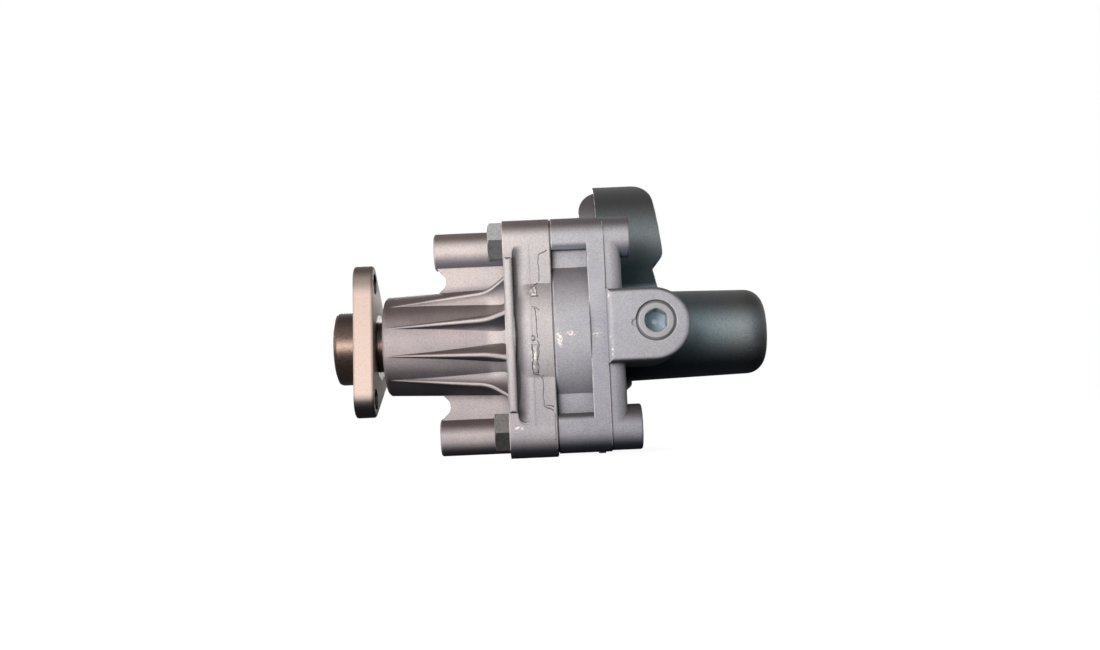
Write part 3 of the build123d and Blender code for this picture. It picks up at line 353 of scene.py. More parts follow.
class PumpFinish(bpy.types.PropertyGroup):
    casting: colour("Casting", "Blasted aluminium of the front housing", (0.60, 0.533, 0.515, 1))
    # Painted shade: the light's falloff over the plate
    plate_falloff_tone: colour("Casting plate falloff", "Painted shade of the light's falloff on the front plate", (0.51, 0.485, 0.49, 1))
    casting_rear: colour("Rear casting", "Blasted aluminium of the rear housing", (0.42, 0.42, 0.452, 1))
    # Painted shade with a bluish painted reflection
    far_painted_shade: colour("Casting far side shade", "Painted shade and bluish painted reflection on barrel and suction block", (0.27, 0.325, 0.35, 1))
    # Worn metal and painted highlight
    casting_wear_highlight_tone: colour("Worn and highlit casting", "Bright metal and painted highlight on edges and scuffs", (0.80, 0.74, 0.72, 1))
    # Painted shade on what faces up and down, set by how each face turns
    top_painted_shade: colour("Top painted shade", "Brown painted shade on what faces up", (0.26, 0.23, 0.22, 1))
    under_painted_shade: colour("Underside painted shade", "Bluish painted shade on what faces down", (0.10, 0.11, 0.13, 1))
    flange_painted_shade: colour("Flange painted shade", "Dark painted shade on the flange's undersides and lower lobe", (0.10, 0.095, 0.11, 1))
    bolt_painted_shade: colour("Bolt painted shade", "Painted shade on the bolt heads' lower faces", (0.13, 0.14, 0.155, 1))
    flange: colour("Flange", "Blasted steel of the drive flange", (0.55, 0.425, 0.37, 1))
    nose: colour("Nose", "Dark turned steel of the shaft nose", (0.11, 0.078, 0.064, 1))
    bolt: colour("Bolts", "Dull zinc of the bolt heads", (0.40, 0.40, 0.40, 1))
    plug: colour("Plug", "Dull plated steel of the plug", (0.33, 0.325, 0.345, 1))
    socket: colour("Socket", "Clean bluish steel inside the plug's socket", (0.36, 0.46, 0.51, 1))
    steel: colour("Ground steel", "Bearing, pump pack and spool", (0.5, 0.5, 0.5, 1))
    spring: colour("Spring steel", "Springs and circlips", (0.24, 0.24, 0.25, 1))
    bronze: colour("Bronze", "Front bush", (0.5, 0.33, 0.16, 1))
    rubber: colour("Rubber", "Seal and O-rings", (0.02, 0.02, 0.02, 1))
    grain_size: length("Grain size", "Width of one pit of the blasted surface", 0.00045)
    grain_depth: length("Grain depth", "Depth of the blasted pits", 0.00006)
    edge_radius: length("Edge radius", "How far an edge of the casting is rounded", 0.0006)
    rib_edge_radius: length("Rib edge radius", "How far an edge of the ribs is rounded", 0.0009)
    turning_pitch: length("Turning pitch", "Distance between tool marks on turned faces", 0.0005)
    cast_roughness: share("Casting roughness", "Roughness of the blasted casting", 0.52)
    steel_roughness: share("Steel roughness", "Roughness of turned and plated steel", 0.38)


class PumpDetail(bpy.types.PropertyGroup):
    flash_height: length("Flash height", "How far the casting flash stands up", 0.00026)
    flash_width: length("Flash width", "Width of the casting flash at its foot", 0.00055)
    pip_radius: length("Pip radius", "Radius of the cast pip beside the flash", 0.0009)
    seam_height: length("Seam height", "How far the rear parting seam stands up", 0.00016)
    seam_width: length("Seam width", "Width of the rear parting seam", 0.0005)
    valley_depth: length("Valley depth", "Depth of the valley behind the front plate's rims", 0.0021)
    thread_depth: length("Thread depth", "How far a thread ridge stands into its hole", 0.00062)
    thread_pitch: length("Thread pitch", "Pitch of the M8 threads", 0.00125)
    port_pitch: length("Port thread pitch", "Pitch of the pressure port's thread", 0.0015)
    clamp_pitch: length("Clamp thread pitch", "Pitch of the M6 thread", 0.001)


class PumpStage(bpy.types.PropertyGroup):
    camera_place: place("Camera", "Where the camera stands", (0.04289, -0.44853, -0.0256))
    camera_turn: bpy.props.FloatVectorProperty(
        name="Camera turn", description="Turn of the camera", size=3, subtype="EULER",
        default=(math.radians(94.0142), math.radians(2.5057), math.radians(0.1021)),
    )
    lens: bpy.props.FloatProperty(name="Lens", description="Focal length", default=37.96, unit="CAMERA")
    floor: colour("Floor", "Colour of the floor", (0.22, 0.22, 0.22, 1))
    key_place: place("Key lamp", "Where the key lamp stands", (-0.08, -0.39, 0.03))
    key_size: length("Key size", "Width of the key lamp", 0.20)
    key_power: power("Key power", "Power of the key lamp", 1.7)
    key_tint: colour("Key tint", "Colour of the lamps", (1.0, 0.96, 0.94, 1))
    side_place: place("Side lamp", "Where the side lamp stands", (-0.36, -0.24, 0.05))
    side_size: length("Side size", "Width of the side lamp", 0.30)
    side_power: power("Side power", "Power of the side lamp", 0.55)
    back_place: place("Back lamp", "Where the lamp on the far side stands", (-0.09, 0.42, 0.09))
    back_size: length("Back size", "Width of the back lamp", 0.30)
    back_power: power("Back power", "Power of the back lamp", 1.7)
    sky: share("Sky", "Strength of the sky's own light", 0.08)
    sky_tint: colour("Sky tint", "Colour of the sky's own light", (0.80, 0.93, 1.0, 1))


def finish():
    return bpy.context.scene.pump_finish


def detail():
    return bpy.context.scene.pump_detail


# Node helpers
def new_tree(name):
    material = bpy.data.materials.new(name)
    material.use_nodes = True
    tree = material.node_tree
    tree.nodes.clear()
    out = tree.nodes.new("ShaderNodeOutputMaterial")
    shader = tree.nodes.new("ShaderNodeBsdfPrincipled")
    tree.links.new(shader.outputs["BSDF"], out.inputs["Surface"])
    return material, tree, shader


# Links a socket to an input, or sets a plain value on it
def feed(tree, value, socket):
    if isinstance(value, bpy.types.NodeSocket):
        tree.links.new(value, socket)
    else:
        socket.default_value = value


def node(tree, kind, settings=None, **inputs):
    made = tree.nodes.new(kind)
    for key, value in (settings or {}).items():
        setattr(made, key, value)
    for key, value in inputs.items():
        feed(tree, value, made.inputs[key.replace("_", " ")])
    return made


# A mix of two colours, whose factor and colours are the inputs 0, 6 and 7
def mix(tree, factor, low, high, blend="MIX"):
    made = tree.nodes.new("ShaderNodeMix")
    made.data_type = "RGBA"
    made.blend_type = blend
    for index, value in ((0, factor), (6, low), (7, high)):
        feed(tree, value, made.inputs[index])
    return made.outputs[2]


def multiplied(tree, base, tint):
    return mix(tree, 1.0, base, tint, "MULTIPLY")


# The base tinted where the share is 1 and left alone where it is 0
def tinted(tree, base, share_socket, tint):
    return multiplied(tree, base, mix(tree, share_socket, WHITE, tint))


def maths(tree, operation, first, second=0.0):
    made = tree.nodes.new("ShaderNodeMath")
    made.operation = operation
    feed(tree, first, made.inputs[0])
    feed(tree, second, made.inputs[1])
    return made.outputs[0]


def times(tree, first, second):
    return maths(tree, "MULTIPLY", first, second)


def vector_maths(tree, operation, first, second=None):
    made = node(tree, "ShaderNodeVectorMath", {"operation": operation})
    feed(tree, first, made.inputs[0])
    if second is not None:
        feed(tree, second, made.inputs[1])
    return made.outputs


def ramp(tree, value, low, high, bottom=0.0, top=1.0):
    made = node(tree, "ShaderNodeMapRange", {"interpolation_type": "SMOOTHSTEP"}, Value=value)
    made.inputs["From Min"].default_value = low
    made.inputs["From Max"].default_value = high
    made.inputs["To Min"].default_value = bottom
    made.inputs["To Max"].default_value = top
    return made.outputs["Result"]


def object_place(tree):
    return node(tree, "ShaderNodeTexCoord").outputs["Object"]


def coordinates(tree, place_socket):
    return node(tree, "ShaderNodeSeparateXYZ", Vector=place_socket).outputs


# Distance from an axis, from the two coordinates across it
def distance(tree, first, second):
    squares = maths(tree, "ADD", maths(tree, "POWER", first, 2.0), maths(tree, "POWER", second, 2.0))
    return maths(tree, "SQRT", squares)


def grain(tree, place_socket, size, detail_level=3.0):
    made = node(
        tree, "ShaderNodeTexNoise", Vector=place_socket, Scale=1.0 / size, Detail=detail_level, Roughness=0.6
    )
    return made.outputs["Fac"]


def soft_edges(tree, radius):
    return node(tree, "ShaderNodeBevel", {"samples": 8}, Radius=radius).outputs["Normal"]


# 1 in the open, falling to 0 in corners closer than the reach
def openness(tree, reach):
    return node(tree, "ShaderNodeAmbientOcclusion", {"samples": 8}, Distance=reach).outputs["AO"]


# The tone at another strength, no brighter than white
def scaled(tone, strength, lift=0.0):
    return [min(1.0, strength * part + lift) for part in tone[:3]] + [1]


# Painted shade on what faces up and on what faces down, each between two heights of the normal
def painted_facing_shade(tree, base, top_tone, under_tone, top=CAST_TOP, under=CAST_UNDER):
    facing = coordinates(tree, node(tree, "ShaderNodeTexCoord").outputs["Normal"])["Z"]
    shade_by_facing = mix(tree, ramp(tree, facing, *top), WHITE, top_tone)
    shade_by_facing = mix(tree, ramp(tree, facing, *under), shade_by_facing, under_tone)
    return multiplied(tree, base, shade_by_facing)


# How far the softened edge turns away from the true face, 0 on flats and 1 on sharp edges
def edge_share(tree, soft_normal):
    flat = node(tree, "ShaderNodeNewGeometry").outputs["Normal"]
    turn = vector_maths(tree, "DOT_PRODUCT", soft_normal, flat)["Value"]
    return ramp(tree, turn, *EDGE_TURN)


# Broken bright mark inside an oval about a point
def scuff(tree, at, centre, reach, speck):
    shift = vector_maths(tree, "SUBTRACT", at, centre)[0]
    away = vector_maths(tree, "LENGTH", vector_maths(tree, "DIVIDE", shift, reach)[0])["Value"]
    return times(tree, ramp(tree, away, *SCUFF_FADE), speck)


# Blasted casting: pitted grain, soft edges with wear and painted highlight, painted shade in corners, painted
# shade and shadow low down, between the ribs, behind the rims, on the far side and by facing, and scuffs
def casting_material(name, tone, far_side=False, scuffs=(), edges_bright=True):
    look = finish()
    material, tree, shader = new_tree(name)
    at = object_place(tree)
    pits = grain(tree, at, look.grain_size)
    base = mix(tree, ramp(tree, pits, *PIT_LEVELS), PIT_DARK, PIT_LIGHT)
    # Painted shade of the light's falloff towards the plate
    base = multiplied(tree, base, tone if far_side else plate_painted_falloff(tree, at, tone, look.plate_falloff_tone))
    clouds = ramp(tree, grain(tree, at, CLOUD_SIZE), *CLOUD_LEVELS)
    base = multiplied(tree, base, mix(tree, clouds, CLOUD_COOL, CLOUD_WARM))
    # Painted shade low down and between the ribs, and the rims' painted shadow
    base = painted_low_and_hollow_shade(tree, base, at)
    # Painted shade and bluish painted reflection on the far side
    if far_side:
        far = far_shade_share(tree, at)
        base = mix(tree, far, base, far_painted_tone(tree, pits, at, look))
        tree.links.new(ramp(tree, far, 0.0, 1.0, CAST_METALLIC, FAR_METALLIC), shader.inputs["Metallic"])
    else:
        shader.inputs["Metallic"].default_value = CAST_METALLIC
    on_neck = ramp(tree, coordinates(tree, at)["X"], *NECK_END_X)
    soft = soft_edges(tree, ramp(tree, on_neck, 0.0, 1.0, look.edge_radius, look.rib_edge_radius))
    # Wear and painted highlight on open edges, then scuffs, some of them painted glints
    wear_plus_highlight = edge_wear_highlight(tree, at, soft, on_neck) if edges_bright else 0.0
    speck = ramp(tree, grain(tree, at, SPECK_SIZE, detail_level=4.0), *SPECK_LEVELS)
    for centre, reach in scuffs:
        wear_plus_highlight = maths(tree, "MAXIMUM", wear_plus_highlight, scuff(tree, at, centre, reach, speck))
    # Painted shade on what faces up and down, lighter underneath high up
    base = painted_facing_shade(tree, base, look.top_painted_shade, lighter_under_shade_high_up(tree, at, look.under_painted_shade))
    base = mix(tree, wear_plus_highlight, base, look.casting_wear_highlight_tone)
    # Painted shade in corners
    base = multiplied(tree, base, mix(tree, openness(tree, CORNER_SHADE_REACH), CORNER_SHADE_TINT, WHITE))
    tree.links.new(base, shader.inputs["Base Color"])
    smoother, rougher = CAST_SHEEN
    rough = ramp(tree, pits, *SHEEN_LEVELS, look.cast_roughness - smoother, look.cast_roughness + rougher)
    tree.links.new(rough, shader.inputs["Roughness"])
    shader.inputs["Specular IOR Level"].default_value = CAST_SPECULAR
    bump = node(tree, "ShaderNodeBump", Height=pits, Distance=look.grain_depth, Strength=1.0, Normal=soft)
    tree.links.new(bump.outputs["Normal"], shader.inputs["Normal"])
    return material


# Share of worn metal and painted highlight: patchy, on open edges, and less on the neck
def edge_wear_highlight(tree, at, soft, on_neck):
    wear_plus_highlight = times(tree, edge_share(tree, soft), ramp(tree, openness(tree, OPEN_REACH), *OPEN_LEVELS))
    wear_plus_highlight = times(tree, wear_plus_highlight, ramp(tree, on_neck, 0.0, 1.0, 1.0, NECK_WEAR_HIGHLIGHT))
    patches = ramp(tree, grain(tree, at, WEAR_SIZE, detail_level=4.0), *WEAR_LEVELS, *WEAR_SHARES)
    return times(tree, wear_plus_highlight, patches)


# Warm blasted skin towards the neck, and painted shade of the light's falloff, darker and cooler, on the plate
def plate_painted_falloff(tree, at, warm, cool):
    return mix(tree, ramp(tree, coordinates(tree, at)["X"], *PLATE_FALLOFF_X), warm, cool)


# Painted shade low on the castings and between the neck's ribs, and the rims' painted shadow behind them
def painted_low_and_hollow_shade(tree, base, at):
    x, y, z = coordinates(tree, at)
    base = tinted(tree, base, ramp(tree, z, *LOW_DOWN_SHADE_Z), LOW_DOWN_SHADE_TINT)
    front_x, front_r = NECK_FRONT
    root_x, root_r = NECK_ROOT
    slope = (root_r - front_r) / (root_x - front_x)
    neck_r = maths(tree, "ADD", times(tree, x, slope), front_r - slope * front_x)
    above_neck = maths(tree, "SUBTRACT", distance(tree, y, z), neck_r)
    shade_between_ribs = times(tree, ramp(tree, x, *RIB_SHADE_X), ramp(tree, above_neck, *RIB_SHADE_HEIGHT))
    base = tinted(tree, base, shade_between_ribs, RIB_SHADE_TINT)
    rim_shadow = times(tree, ramp(tree, x, *RIM_SHADOW_X), ramp(tree, x, *RIM_SHADOW_FADE_X))
    beside_middle = ramp(tree, maths(tree, "ABSOLUTE", z), *RIM_SHADOW_Z)
    return tinted(tree, base, times(tree, rim_shadow, beside_middle), RIM_SHADOW_TINT)


# The painted shade under a casting is lighter high up
def lighter_under_shade_high_up(tree, at, tone):
    return mix(tree, ramp(tree, coordinates(tree, at)["Z"], *UNDER_SHADE_LIGHT_Z), tone, scaled(tone, UNDER_SHADE_LIGHT_HIGH_UP))


# Share of the far side's painted shade and bluish painted reflection: the barrel behind the cap and the
# suction block above it
def far_shade_share(tree, at):
    x, y, _ = coordinates(tree, at)
    barrel = times(tree, ramp(tree, x, *BARREL_SHADE_X), ramp(tree, y, *BARREL_SHADE_Y))
    block = times(tree, ramp(tree, x, *BLOCK_SHADE_X), ramp(tree, y, *BLOCK_SHADE_Y))
    return maths(tree, "MAXIMUM", barrel, block)


# Tone of the far side's painted shade and bluish painted reflection: browner towards the barrel's end with
# painted shade at the end, painted shade on the block's top and painted shadow at its root
def far_painted_tone(tree, pits, at, look):
    x, _, z = coordinates(tree, at)
    tone = mix(tree, ramp(tree, pits, *PIT_LEVELS), scaled(look.far_painted_shade, FAR_PITS), look.far_painted_shade)
    tone = multiplied(tree, tone, mix(tree, ramp(tree, x, *BARREL_BROWN_X), BARREL_COOL, BARREL_WARM))
    tone = tinted(tree, tone, ramp(tree, x, *BARREL_END_SHADE_X), BARREL_END_SHADE_TINT)
    root_shadow = times(tree, ramp(tree, z, *BLOCK_ROOT_SHADOW_TOP_Z), ramp(tree, z, *BLOCK_ROOT_SHADOW_LOW_Z))
    block = mix(tree, ramp(tree, z, *BLOCK_TOP_SHADE_Z), WHITE, BLOCK_TOP_SHADE_TINT)
    return multiplied(tree, tone, mix(tree, root_shadow, block, BLOCK_ROOT_SHADOW_TINT))


# Steel with fine grain, optional turning marks about the shaft, edges lightened by wear and painted highlight,
# and painted shade above and below
def steel_material(
    name, tone, roughness, turned=False, grain_size=0.0009, metallic=0.55, wear_plus_highlight=0.25, shade_by_facing=None, spotty=0.55
):
    look = finish()
    material, tree, shader = new_tree(name)
    at = object_place(tree)
    spots = grain(tree, at, grain_size, detail_level=4.0)
    base = mix(tree, ramp(tree, spots, *PIT_LEVELS), scaled(tone, spotty), tone)
    edge_normal = soft_edges(tree, look.edge_radius * STEEL_EDGE)
    # Edges lightened by wear and painted highlight
    base = mix(tree, times(tree, edge_share(tree, edge_normal), wear_plus_highlight), base, scaled(tone, *STEEL_WEAR_HIGHLIGHT_TONE))
    # Painted shade on what faces up and down
    if shade_by_facing:
        base = painted_facing_shade(tree, base, *shade_by_facing)
    tree.links.new(base, shader.inputs["Base Color"])
    height = spots
    if turned:
        wave = maths(tree, "SINE", times(tree, coordinates(tree, at)["X"], 2 * math.pi / look.turning_pitch))
        height = maths(tree, "ADD", times(tree, wave, TURNING_SHARE), spots)
    smoother, rougher = STEEL_SHEEN
    rough = ramp(tree, spots, *SHEEN_LEVELS, roughness - smoother, roughness + rougher)
    tree.links.new(rough, shader.inputs["Roughness"])
    shader.inputs["Metallic"].default_value = metallic
    shader.inputs["Specular IOR Level"].default_value = STEEL_SPECULAR
    bump = node(tree, "ShaderNodeBump", Height=height, Distance=FINE_DEPTH, Strength=0.8, Normal=edge_normal)
    tree.links.new(bump.outputs["Normal"], shader.inputs["Normal"])
    return material, tree, shader


# The colour that a finished shader has so far
def base_of(shader):
    return shader.inputs["Base Color"].links[0].from_socket


# The plug's plating, with the clean socket inside it and painted shade in the socket's corners
def plug_material(name):
    look = finish()
    material, tree, shader = steel_material(
        name, look.plug, roughness=0.42, grain_size=look.grain_size, metallic=0.3, spotty=0.85
    )
    low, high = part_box("valve_plug")
    mouth = ((low.x + high.x) / 2, low.y, (low.z + high.z) / 2)
    x, y, z = coordinates(tree, vector_maths(tree, "SUBTRACT", object_place(tree), mouth)[0])
    inside = times(tree, ramp(tree, distance(tree, x, z), *SOCKET_EDGE), ramp(tree, y, *SOCKET_DEPTH))
    # Painted shade in the socket's corners
    shaded_walls = mix(tree, openness(tree, SOCKET_SHADE_REACH), SOCKET_SHADE_TINT, look.socket)
    tree.links.new(mix(tree, inside, base_of(shader), shaded_walls), shader.inputs["Base Color"])
    return material


def rubber_material(name):
    look = finish()
    material, tree, shader = new_tree(name)
    spots = grain(tree, object_place(tree), RUBBER_GRAIN)
    tree.links.new(mix(tree, spots, look.rubber, RUBBER_DUSTY), shader.inputs["Base Color"])
    tree.links.new(ramp(tree, spots, *SHEEN_LEVELS, *RUBBER_SHEEN), shader.inputs["Roughness"])
    bump = node(tree, "ShaderNodeBump", Height=spots, Distance=FINE_DEPTH, Strength=0.6)
    tree.links.new(bump.outputs["Normal"], shader.inputs["Normal"])
    return material


# Painted shadow on the shaded flanks of the flash
def flash_shadow_material(name):
    material, tree, shader = new_tree(name)
    spots = grain(tree, object_place(tree), FLASH_SHADOW_GRAIN)
    tree.links.new(mix(tree, spots, FLASH_SHADOW_DARK, FLASH_SHADOW_LIGHT), shader.inputs["Base Color"])
    tree.links.new(ramp(tree, spots, *SHEEN_LEVELS, *FLASH_SHADOW_SHEEN), shader.inputs["Roughness"])
    return material


# Pale floor: matt for every ray, with a glow that only the camera sees, weaker near the part
def floor_material(name, tone):
    material = bpy.data.materials.new(name)
    material.use_nodes = True
    tree = material.node_tree
    tree.nodes.clear()
    out = tree.nodes.new("ShaderNodeOutputMaterial")
    at = object_place(tree)
    specks = grain(tree, at, FLOOR_GRAIN, detail_level=2.0)
    speckled = mix(tree, specks, tone, scaled(tone, FLOOR_SPECKS))
    matt = node(tree, "ShaderNodeBsdfDiffuse", Color=speckled)
    away = vector_maths(tree, "LENGTH", at)["Value"]
    glow = node(tree, "ShaderNodeEmission", Strength=ramp(tree, away, *GLOW_REACH, *GLOW_LEVELS))
    both = tree.nodes.new("ShaderNodeAddShader")
    tree.links.new(matt.outputs[0], both.inputs[0])
    tree.links.new(glow.outputs[0], both.inputs[1])
    pick = tree.nodes.new("ShaderNodeMixShader")
    tree.links.new(tree.nodes.new("ShaderNodeLightPath").outputs["Is Camera Ray"], pick.inputs[0])
    tree.links.new(matt.outputs[0], pick.inputs[1])
    tree.links.new(both.outputs[0], pick.inputs[2])
    tree.links.new(pick.outputs[0], out.inputs["Surface"])
    return material


def give(names, material):
    for name in names:
        mesh = frame["nodes"][name].data
        mesh.materials.clear()
        mesh.materials.append(material)


# One smooth mesh piece that rides a body
def new_piece(name, bm, material, body):
    mesh = bpy.data.meshes.new(name)
    bm.to_mesh(mesh)
    bm.free()
    for face in mesh.polygons:
        face.use_smooth = True
    mesh.materials.append(material)
    piece = bpy.data.objects.new(name, mesh)
    bpy.context.scene.collection.objects.link(piece)
    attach(piece, body)
    return piece


# Rings of points joined into one skin with closed ends
def skin(bm, rings):
    made = [[bm.verts.new(point) for point in ring] for ring in rings]
    count = len(made[0])
    for first, second in zip(made, made[1:]):
        for k in range(count):
            bm.faces.new((first[k], first[(k + 1) % count], second[(k + 1) % count], second[k]))
    bm.faces.new(list(reversed(made[0])))
    bm.faces.new(made[-1])


# Finds the point and the normal where a line from the near side, or the far side, first meets the pieces
def surface_finder(pieces, side=-1):
    points = []
    faces = []
    for piece in pieces:
        first = len(points)
        points += [vert.co.copy() for vert in piece.data.vertices]
        faces += [tuple(first + index for index in face.vertices) for face in piece.data.polygons]
    tree = BVHTree.FromPolygons(points, faces)

    def meet(x, z):
        point, normal, _, _ = tree.ray_cast(Vector((x, side * CLEAR_OF_PART, z)), Vector((0, -side, 0)))
        if point is None:
            raise RuntimeError("no surface of the casting at x %.4f, z %.4f" % (x, z))
        return point, normal

    return meet


# Two sheets of points joined along their edges
def sheet_body(bm, top, thick):
    rows = len(top) - 1
    columns = len(top[0]) - 1
    made = [[bm.verts.new(point) for point in row] for row in top]
    under = [[bm.verts.new(point + thick) for point in row] for row in top]
    for k in range(rows):
        for j in range(columns):
            bm.faces.new((made[k][j], made[k + 1][j], made[k + 1][j + 1], made[k][j + 1]))
            bm.faces.new((under[k][j], under[k][j + 1], under[k + 1][j + 1], under[k + 1][j]))
    for k in range(rows):
        bm.faces.new((made[k][0], under[k][0], under[k + 1][0], made[k + 1][0]))
        bm.faces.new((made[k][-1], made[k + 1][-1], under[k + 1][-1], under[k][-1]))
    for j in range(columns):
        bm.faces.new((made[0][j], made[0][j + 1], under[0][j + 1], under[0][j]))
        bm.faces.new((made[-1][j], under[-1][j], under[-1][j + 1], made[-1][j + 1]))


# Share of its full depth that a valley has across its width, from its steep foot at 0 to its shore at 1
def valley_share(across):
    if across < VALLEY_STEEP:
        return 1 - 0.35 * (1 - across / VALLEY_STEEP) ** 2
    return 0.5 + 0.5 * math.cos(math.pi * min(1.0, (across - VALLEY_STEEP) / (1 - VALLEY_STEEP)))


# Cast valley between a rim and the plate, with soft run-outs at its ends
def valley(bm, meet, depth, side):
    foot, shore = VALLEY_X
    low, high = VALLEY_Z
    rows, columns = VALLEY_GRID
    top = []
    for k in range(rows + 1):
        z = low + (high - low) * k / rows
        level = side * meet(shore + VALLEY_BESIDE, z)[0].y
        hollow = side * meet((foot + shore) / 2, z)[0].y
        end = max(0.0, min(1.0, (z - low) / VALLEY_LOW_RUN, (high - z) / VALLEY_HIGH_RUN))
        deep = min(depth, max(0.0, level - hollow - VALLEY_SPARE)) * end * end * (3 - 2 * end)
        row = []
        for j in range(columns + 1):
            x = foot - VALLEY_HEM + (shore - foot + 3 * VALLEY_HEM) * j / columns
            across = (x - foot) / (shore - foot)
            solid = side * meet(x, z)[0].y
            if k in (0, rows) or j in (0, columns) or across < -0.02:
                wanted = solid - VALLEY_SUNK
            else:
                wanted = max(level - deep * valley_share(across), solid + VALLEY_PROUD)
            row.append(Vector((x, side * wanted, z)))
        top.append(row)
    sheet_body(bm, top, Vector((0, -side * VALLEY_THICK, 0)))


# Thin ridge along points on the near side, with an uneven crest, and painted shadow on its flanks from the
# given flank on
def ridge(bm, meet, points, height, width, seed, shadow_from):
    near = 0.7 * height
    far = 0.6 * height
    profile = ((-0.5, -RIDGE_SINK), (-0.28, near), (0.0, height), (0.26, far), (0.5, -RIDGE_SINK))
    rings = []
    for k, (x, z) in enumerate(points):
        before = points[max(k - 1, 0)]
        after = points[min(k + 1, len(points) - 1)]
        along = Vector((after[0] - before[0], 0, after[1] - before[1])).normalized()
        side = Vector((-along.z, 0, along.x))
        tall = 0.75 + 0.6 * noise.noise(Vector((x * CREST_NOISE, seed, z * CREST_NOISE)))
        wide = width * (1.0 + 0.5 * noise.noise(Vector((z * WIDTH_NOISE, x * WIDTH_NOISE, seed))))
        taper = min(1.0, k / 2, (len(points) - 1 - k) / 2) + 0.05
        ring = []
        for across, lift in profile:
            point, normal = meet(x + side.x * across * wide, z + side.z * across * wide)
            ring.append(point + normal * (lift * tall * taper if lift > 0 else lift))
        rings.append(ring)
    first = len(bm.faces)
    skin(bm, rings)
    bm.faces.ensure_lookup_table()
    count = len(profile)
    # The shaded flanks' faces take the second material, their painted shadow
    for number, face in enumerate(bm.faces[first:]):
        face.material_index = 1 if shadow_from <= number % count < count - 1 else 0


# Low slab of flash between two traced lines
def slab(bm, meet, left, right, height, seed):
    rows, columns = SLAB_GRID
    made = []
    for k in range(rows + 1):
        z = left[0][1] + (left[-1][1] - left[0][1]) * k / rows
        x0 = line_x(left, z)
        x1 = line_x(right, z)
        row = []
        for j in range(columns + 1):
            x = x0 + (x1 - x0) * j / columns
            point, normal = meet(x, z)
            edge = k in (0, rows) or j in (0, columns)
            bumps = 0.7 + 0.9 * noise.noise(Vector((x * SLAB_NOISE, seed, z * SLAB_NOISE)))
            row.append(point + normal * (-SLAB_SINK if edge else height * bumps))
        made.append(row)
    sheet_body(bm, made, Vector((0, SLAB_THICK, 0)))


# Where a traced line stands in x at a height z
def line_x(line, z):
    for (x0, z0), (x1, z1) in zip(line, line[1:]):
        if (z0 - z) * (z1 - z) <= 0 and z0 != z1:
            return x0 + (x1 - x0) * (z - z0) / (z1 - z0)
    return line[-1][0]


# Points along a traced line, with a small unevenness between them
def wander(line, step, sway, seed):
    rng = random.Random(seed)
    points = []
    for (x0, z0), (x1, z1) in zip(line, line[1:]):
        count = max(1, round(math.hypot(x1 - x0, z1 - z0) / step))
        for k in range(count):
            t = k / count
            x = x0 + (x1 - x0) * t + rng.uniform(-sway, sway)
            z = z0 + (z1 - z0) * t + rng.uniform(-sway, sway)
            points.append((x, z))
    points.append(line[-1])
    return points


# Helical ridge on the wall of a threaded hole, which fades in and out over half a turn
def thread(bm, start, axis, radius, depth, pitch, run):
    axis = Vector(axis).normalized()
    across = axis.orthogonal().normalized()
    other = axis.cross(across)
    total = int(run / pitch * THREAD_STEPS)
    fade_steps = THREAD_STEPS * 0.5
    foot = 0.45 * pitch
    crest = 0.06 * pitch
    rings = []
    for k in range(total + 1):
        angle = 2 * math.pi * k / THREAD_STEPS
        outward = across * math.cos(angle) + other * math.sin(angle)
        centre = Vector(start) + axis * (pitch * k / THREAD_STEPS)
        tall = depth * min(1.0, k / fade_steps, (total - k) / fade_steps + 0.02)
        sunk = -0.03 * depth
        profile = ((-foot, sunk), (-crest, tall), (crest, tall), (foot, sunk))
        rings.append([centre + axis * shift + outward * (radius - inward) for shift, inward in profile])
    skin(bm, rings)


class PUMP_OT_castings(bpy.types.Operator):
    """Gives the two housings their blasted aluminium"""

    bl_idname = "pump.castings"
    bl_label = "Finish castings"

    def execute(self, context):
        look = finish()
        give(["front_housing"], casting_material("front casting", look.casting, scuffs=FRONT_SCUFFS))
        give(["rear_housing"], casting_material("rear casting", look.casting_rear, True, REAR_SCUFFS))
        return {"FINISHED"}


class PUMP_OT_turned_parts(bpy.types.Operator):
    """Gives the drive flange and the shaft their turned and blasted steel"""

    bl_idname = "pump.turned_parts"
    bl_label = "Finish flange and shaft"

    def execute(self, context):
        look = finish()
        shade_by_facing = (look.top_painted_shade, look.flange_painted_shade, FLANGE_TOP, FLANGE_UNDER)
        material, tree, shader = steel_material(
            "blasted flange", look.flange, roughness=0.5, grain_size=look.grain_size, metallic=0.12,
            shade_by_facing=shade_by_facing, spotty=0.84,
        )
        # Painted shade on the flange's upper and lower lobes
        height = coordinates(tree, object_place(tree))["Z"]
        lobe_shade = mix(tree, ramp(tree, height, *LOBE_TOP_SHADE_Z), WHITE, LOBE_TOP_SHADE_TINT)
        lobe_shade = mix(tree, ramp(tree, height, *LOBE_LOW_SHADE_Z), lobe_shade, look.flange_painted_shade)
        tree.links.new(multiplied(tree, base_of(shader), lobe_shade), shader.inputs["Base Color"])
        give(["drive_flange"], material)
        shade_by_facing = (look.top_painted_shade, WHITE, NOSE_TOP)
        nose = steel_material(
            "turned nose", look.nose, roughness=0.34, turned=True, grain_size=look.grain_size, metallic=0.9,
            shade_by_facing=shade_by_facing, spotty=0.75,
        )
        give(["drive_shaft"], nose[0])
        return {"FINISHED"}


